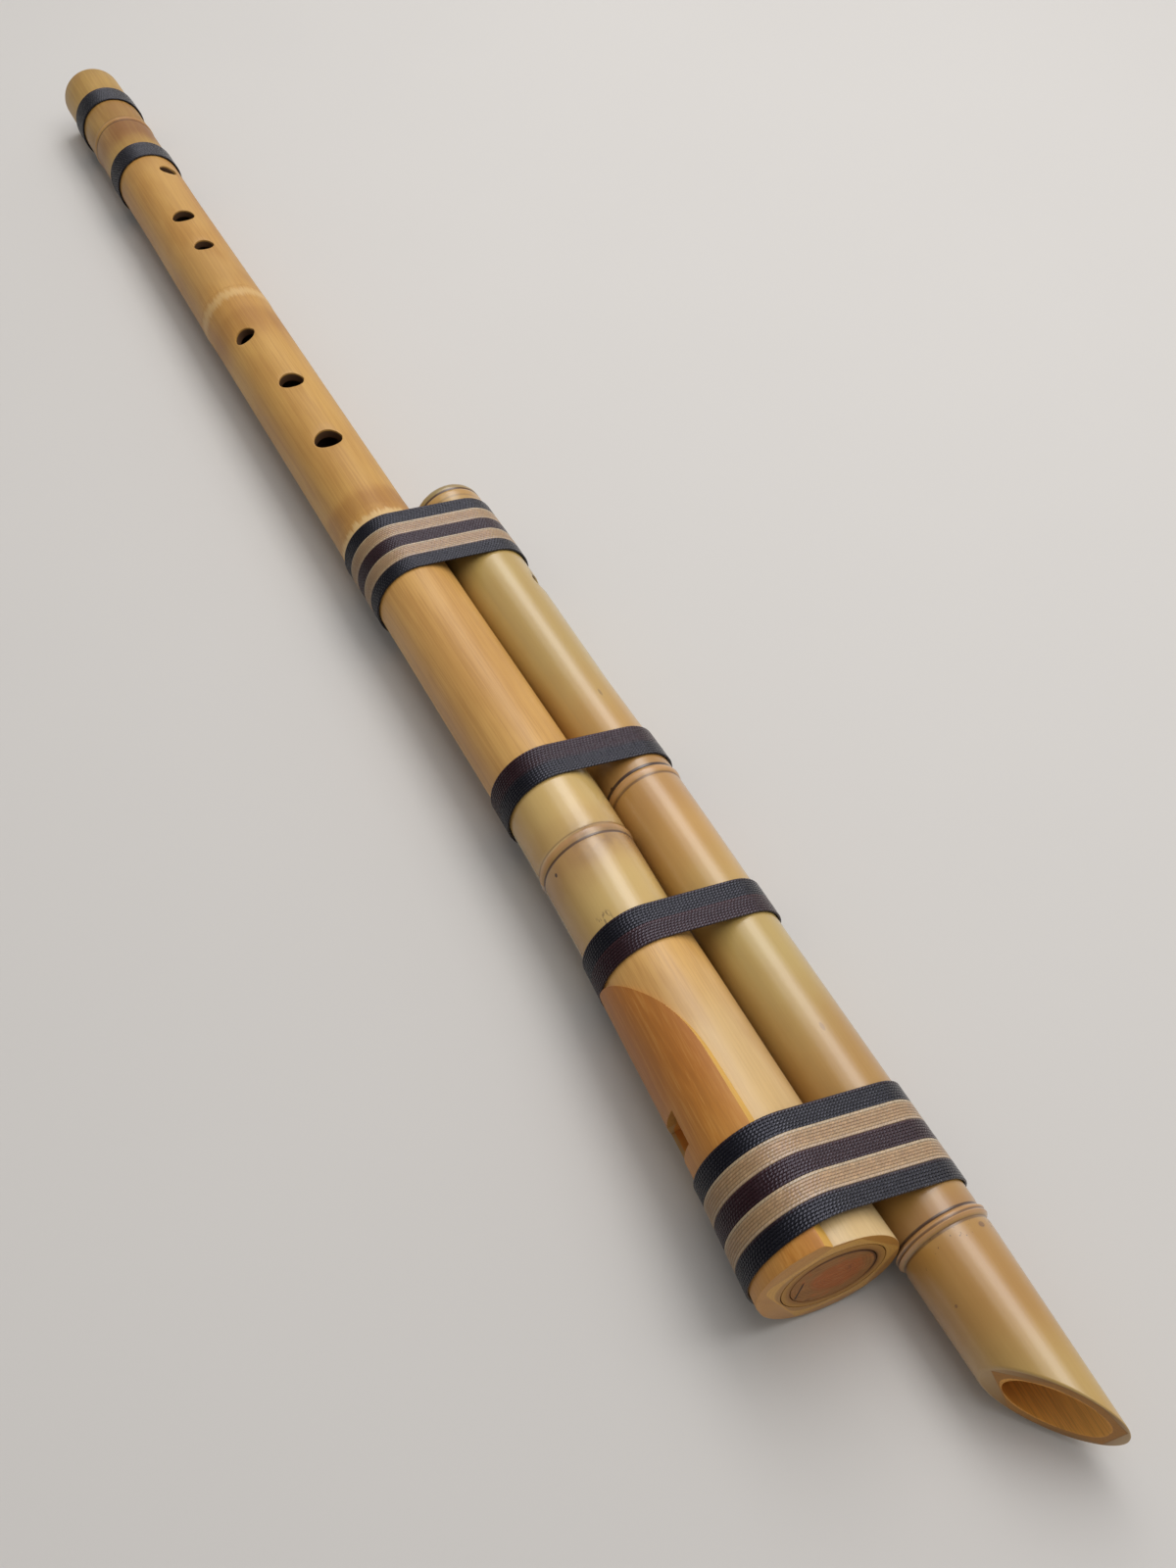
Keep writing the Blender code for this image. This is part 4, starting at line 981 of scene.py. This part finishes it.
class FLUTE_OT_plug(bpy.types.Operator):
    """Finish the end plug, its packing, the block and the wax seal"""

    bl_idname = "flute.plug"
    bl_label = "Plug, block and seal"

    def execute(self, context):
        colours = context.scene.flute_colours
        for node, made in (
            ("end_plug", plug_finish),
            ("plug_packing_ring", packing_finish),
            ("fipple_block", block_finish),
            ("transfer_seal", wax_finish),
        ):
            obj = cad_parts[node]
            obj.data.materials.clear()
            obj.data.materials.append(made(colours))
        return {"FINISHED"}


def ring_hull(station, with_duct, clear):
    """Taut loop round the tubes at a station: (y, z) points in order."""
    rounds = [(main_axis(station), radius_at(MAIN_OUTLINE, station))]
    if station > FLANK_NOSE_AT + 12.0:
        across, up = flank_shift(station)
        rounds.append((main_axis(station) + Vector((0.0, across, up)), radius_at(MAIN_OUTLINE, station)))
    if with_duct:
        rounds.append((duct_axis(station), radius_at(DUCT_OUTLINE, station)))
    points = []
    for axis, radius in rounds:
        for step in range(180):
            out = outward(step * 2.0) * (radius + clear)
            points.append((axis.y + out.y, axis.z + out.z))
    points.sort()

    def half(ordered):
        chain = []
        for point in ordered:
            while len(chain) > 1:
                (ax, ay), (bx, by) = chain[-2], chain[-1]
                if (bx - ax) * (point[1] - ay) - (by - ay) * (point[0] - ax) > 0:
                    break
                chain.pop()
            chain.append(point)
        return chain[:-1]

    return half(points) + half(reversed(points))


def even_loop(hull, count):
    """A closed loop as evenly spaced points, from a point on its underside on."""
    spans = []
    for index, point in enumerate(hull):
        behind = hull[index - 1]
        if point[1] < 6.0 and behind[1] < 6.0:
            spans.append((round(math.dist(behind, point), 1), -round(point[1], 3), index))
    first = max(spans)[2]
    loop = hull[first:] + hull[:first]
    closed = loop + loop[:1]
    lengths = [math.dist(a, b) for a, b in zip(closed, closed[1:])]
    whole = sum(lengths)
    points, index, passed = [], 0, 0.0
    for step in range(count):
        goal = whole * step / count
        while passed + lengths[index] < goal:
            passed += lengths[index]
            index += 1
        share = (goal - passed) / lengths[index]
        (ax, ay), (bx, by) = closed[index], closed[index + 1]
        points.append((ax + (bx - ax) * share, ay + (by - ay) * share))
    return points


def wind(name, band, turns, thread, material):
    """One close winding of thread: each turn lies square and steps to the next one on the underside."""
    node, start, width, finish_name, with_duct = band
    rng = random.Random(node)
    count = 128 if with_duct else 88
    sides = 8
    wide = thread / MM / 2
    tall = wide * THREAD_FLATNESS
    pitch = (width - 2 * wide) / (turns - 1)
    loops = []
    for turn in range(turns):
        hull = ring_hull(min(start + wide + pitch * turn, TAIL_AT), with_duct, tall + THREAD_CLEAR)
        loops.append(even_loop(hull, count))
    wobble = [(rng.uniform(-0.03, 0.03), rng.uniform(-0.02, 0.02)) for _ in range(turns + 1)]
    wobble[0] = wobble[turns - 1] = wobble[turns] = (0.0, 0.0)
    path = []
    for index in range(turns * count):
        turn, step = divmod(index, count)
        share = step / count
        last = turn == turns - 1
        run = min(max((share - 0.88) / 0.12, 0.0), 1.0)
        jog = 0.0 if last else run * run * (3 - 2 * run)
        here = loops[turn][step]
        there = loops[min(turn + 1, turns - 1)][step]
        y = here[0] + (there[0] - here[0]) * jog
        z = here[1] + (there[1] - here[1]) * jog
        aside = wobble[turn][0] + (wobble[turn + 1][0] - wobble[turn][0]) * share
        lift = wobble[turn][1] + (wobble[turn + 1][1] - wobble[turn][1]) * share
        station = start + wide + pitch * (turn + jog) + aside
        middle = main_axis(station)
        if with_duct:
            middle = (middle + duct_axis(station)) / 2
        out = Vector((0.0, y - middle.y, z - middle.z)).normalized()
        path.append((Vector((station - FLUTE_LENGTH / 2, y, z)) + out * lift, (turn + jog + 0.5) / turns))
    bm = bmesh.new()
    layer = bm.verts.layers.float_vector.new("wound")
    rings = []
    along = 0.0
    for index, (point, across) in enumerate(path):
        before = path[max(index - 1, 0)][0]
        after = path[min(index + 1, len(path) - 1)][0]
        ahead = (after - before).normalized()
        if index:
            along += (point - before).length
        side = Vector((1.0, 0.0, 0.0))
        side = (side - ahead * side.dot(ahead)).normalized()
        up = ahead.cross(side)
        ring = []
        for corner in range(sides):
            angle = 2 * math.pi * (corner + 0.5) / sides
            across_it = math.copysign(abs(math.cos(angle)) ** 0.67, math.cos(angle))
            above_it = math.copysign(abs(math.sin(angle)) ** 0.67, math.sin(angle))
            offset = side * across_it * wide + up * above_it * tall
            vert = bm.verts.new((point + offset * 1.05) * MM)
            vert[layer] = (across, along, corner / sides)
            ring.append(vert)
        rings.append(ring)
    for ring, following in zip(rings, rings[1:]):
        for corner in range(sides):
            nxt = (corner + 1) % sides
            bm.faces.new((ring[corner], following[corner], following[nxt], ring[nxt]))
    bm.faces.new(rings[0])
    bm.faces.new(reversed(rings[-1]))
    bmesh.ops.recalc_face_normals(bm, faces=bm.faces)
    mesh = bpy.data.meshes.new(name)
    bm.to_mesh(mesh)
    bm.free()
    obj = bpy.data.objects.new(name, mesh)
    bpy.context.scene.collection.objects.link(obj)
    finish(obj, material, node, f"{finish_name}_thread", 80.0)
    return obj


def thread_materials(colours):
    """The three thread finishes, made once."""
    made = {}
    for name, body, first_edge, last_edge, gleam, gloss, relief, sheen, core in (
        ("black", colours.black_thread, (0.024, 0.010, 0.012), colours.black_thread, 0.24, 0.5, 0.00015, 0.03, None),
        ("brown", colours.brown_thread, (0.045, 0.013, 0.014), colours.brown_thread, 0.25, 0.45, 0.00015, 0.04, None),
        ("tan", colours.tan_thread, colours.cream_thread, (0.50, 0.36, 0.23), 0.36, 0.8, 0.0001, 0.15, (0.36, 0.20, 0.09)),
    ):
        title = f"wound_{name}_thread"
        made[name] = bpy.data.materials.get(title) or thread_finish(
            title, tuple(body), tuple(first_edge), tuple(last_edge), gleam, gloss, relief, sheen, core
        )
    return made


class FLUTE_OT_foot_bands(bpy.types.Operator):
    """Wind the two wide bands on the foot"""

    bl_idname = "flute.foot_bands"
    bl_label = "Foot bands"

    def execute(self, context):
        sizes = context.scene.flute_sizes
        materials = thread_materials(context.scene.flute_colours)
        for band in FOOT_BANDS:
            wind(f"wound_{band[0]}", band, sizes.foot_turns, sizes.thread, materials[band[3]])
        return {"FINISHED"}


class FLUTE_OT_five_bands(bpy.types.Operator):
    """Wind the two groups of five bands round both tubes"""

    bl_idname = "flute.five_bands"
    bl_label = "Groups of five bands"

    def execute(self, context):
        sizes = context.scene.flute_sizes
        materials = thread_materials(context.scene.flute_colours)
        for band in FIVE_BANDS:
            wind(f"wound_{band[0]}", band, sizes.group_turns, sizes.thread, materials[band[3]])
        return {"FINISHED"}


class FLUTE_OT_double_bands(bpy.types.Operator):
    """Wind the two double bands round both tubes"""

    bl_idname = "flute.double_bands"
    bl_label = "Double bands"

    def execute(self, context):
        sizes = context.scene.flute_sizes
        materials = thread_materials(context.scene.flute_colours)
        for band in DOUBLE_BANDS:
            wind(f"wound_{band[0]}", band, sizes.double_turns, sizes.thread, materials[band[3]])
        return {"FINISHED"}


class FLUTE_OT_stage(bpy.types.Operator):
    """Lay the floor and set the lights and the camera"""

    bl_idname = "flute.stage"
    bl_label = "Stage"

    def execute(self, context):
        deselect()
        bpy.ops.mesh.primitive_plane_add(size=6.0, location=(0.0, 0.0, 0.0))
        floor = context.object
        floor.name = "stage_floor"
        bpy.ops.object.transform_apply(location=True, rotation=True, scale=True)
        finish_made = Finish("stage_floor")
        place = finish_made.node("ShaderNodeTexCoord").outputs["Object"]
        cloud = finish_made.noise(place, 6.0, 2.0)
        pale = tuple(context.scene.flute_colours.floor)
        dim = tuple(value * 0.97 for value in pale)
        finish_made.set(Base_Color=finish_made.mix(cloud, dim, pale), Roughness=0.85)
        floor.data.materials.append(finish_made.material)
        self.world(context)
        self.window_light(context)
        self.camera(context)
        context.scene.view_settings.view_transform = "Standard"
        return {"FINISHED"}

    def window_light(self, context):
        """A large soft window, long in X, above the flute on the duct tube's side, brighter in its middle."""
        for name, width, power, across, up in (
            ("window_light", 1.3, 10.0, 0.42, 1.15),
            ("window_middle", 0.5, 7.5, 0.53, 1.10),
        ):
            light = bpy.data.lights.new(name, "AREA")
            light.shape = "RECTANGLE"
            light.size = 2.0
            light.size_y = width
            light.energy = power
            lamp = bpy.data.objects.new(name, light)
            lamp.location = (-0.25, across, up)
            lamp.rotation_euler = (-math.atan2(across, up), 0.0, 0.0)
            context.scene.collection.objects.link(lamp)

    def world(self, context):
        """Soft light from all round, weaker on the side away from the window."""
        world = bpy.data.worlds.new("studio")
        world.use_nodes = True
        context.scene.world = world
        nodes, links = world.node_tree.nodes, world.node_tree.links
        background = nodes["Background"]
        background.inputs["Color"].default_value = (1.0, 0.99, 0.975, 1.0)
        direction = nodes.new("ShaderNodeTexCoord")
        split = nodes.new("ShaderNodeSeparateXYZ")
        strength = nodes.new("ShaderNodeMapRange")
        for key, value in (("From Min", -1.0), ("From Max", 1.0), ("To Min", 0.22), ("To Max", 0.52)):
            strength.inputs[key].default_value = value
        links.new(direction.outputs["Generated"], split.inputs[0])
        links.new(split.outputs["Y"], strength.inputs["Value"])
        links.new(strength.outputs["Result"], background.inputs["Strength"])

    def camera(self, context):
        right = Vector((0.4526, 0.8897, -0.0630))
        down = Vector((0.6730, -0.3875, -0.6300))
        forward = Vector((-0.5848, 0.2420, -0.7740)).normalized()
        down = (down - forward * down.dot(forward)).normalized()
        right = down.cross(forward)
        data = bpy.data.cameras.new("camera")
        data.sensor_fit = "VERTICAL"
        data.sensor_height = 36.0
        data.lens = 36.0
        data.clip_start = 0.01
        eye = bpy.data.objects.new("camera", data)
        turn = Matrix((right, -down, -forward)).transposed().to_4x4()
        eye.matrix_world = Matrix.Translation((0.45496, -0.11777, 0.41537)) @ turn
        context.scene.collection.objects.link(eye)
        context.scene.camera = eye


class FLUTE_PT_panel(bpy.types.Panel):
    """Steps and settings of the flute"""

    bl_idname = "FLUTE_PT_panel"
    bl_label = "Moseno flute"
    bl_space_type = "VIEW_3D"
    bl_region_type = "UI"
    bl_category = "Flute"

    def draw(self, context):
        column = self.layout.column()
        for step in STEPS:
            column.operator(step.bl_idname)
        for group in (context.scene.flute_sizes, context.scene.flute_colours):
            box = self.layout.box()
            for key in group.__annotations__:
                box.prop(group, key)


STEPS = (
    FLUTE_OT_main_tube,
    FLUTE_OT_duct_tube,
    FLUTE_OT_plug,
    FLUTE_OT_foot_bands,
    FLUTE_OT_five_bands,
    FLUTE_OT_double_bands,
    FLUTE_OT_stage,
)
CLASSES = (FluteSizes, FluteColours, *STEPS, FLUTE_PT_panel)


def register():
    for cls in CLASSES:
        bpy.utils.register_class(cls)
    bpy.types.Scene.flute_sizes = PointerProperty(type=FluteSizes)
    bpy.types.Scene.flute_colours = PointerProperty(type=FluteColours)


def unregister():
    del bpy.types.Scene.flute_colours
    del bpy.types.Scene.flute_sizes
    for cls in reversed(CLASSES):
        bpy.utils.unregister_class(cls)


def main():
    register()
    bpy.ops.flute.main_tube()
    bpy.ops.flute.duct_tube()
    bpy.ops.flute.plug()
    bpy.ops.flute.foot_bands()
    bpy.ops.flute.five_bands()
    bpy.ops.flute.double_bands()
    bpy.ops.flute.stage()
    bpy.context.view_layer.update()


if __name__ == "__main__":
    main()
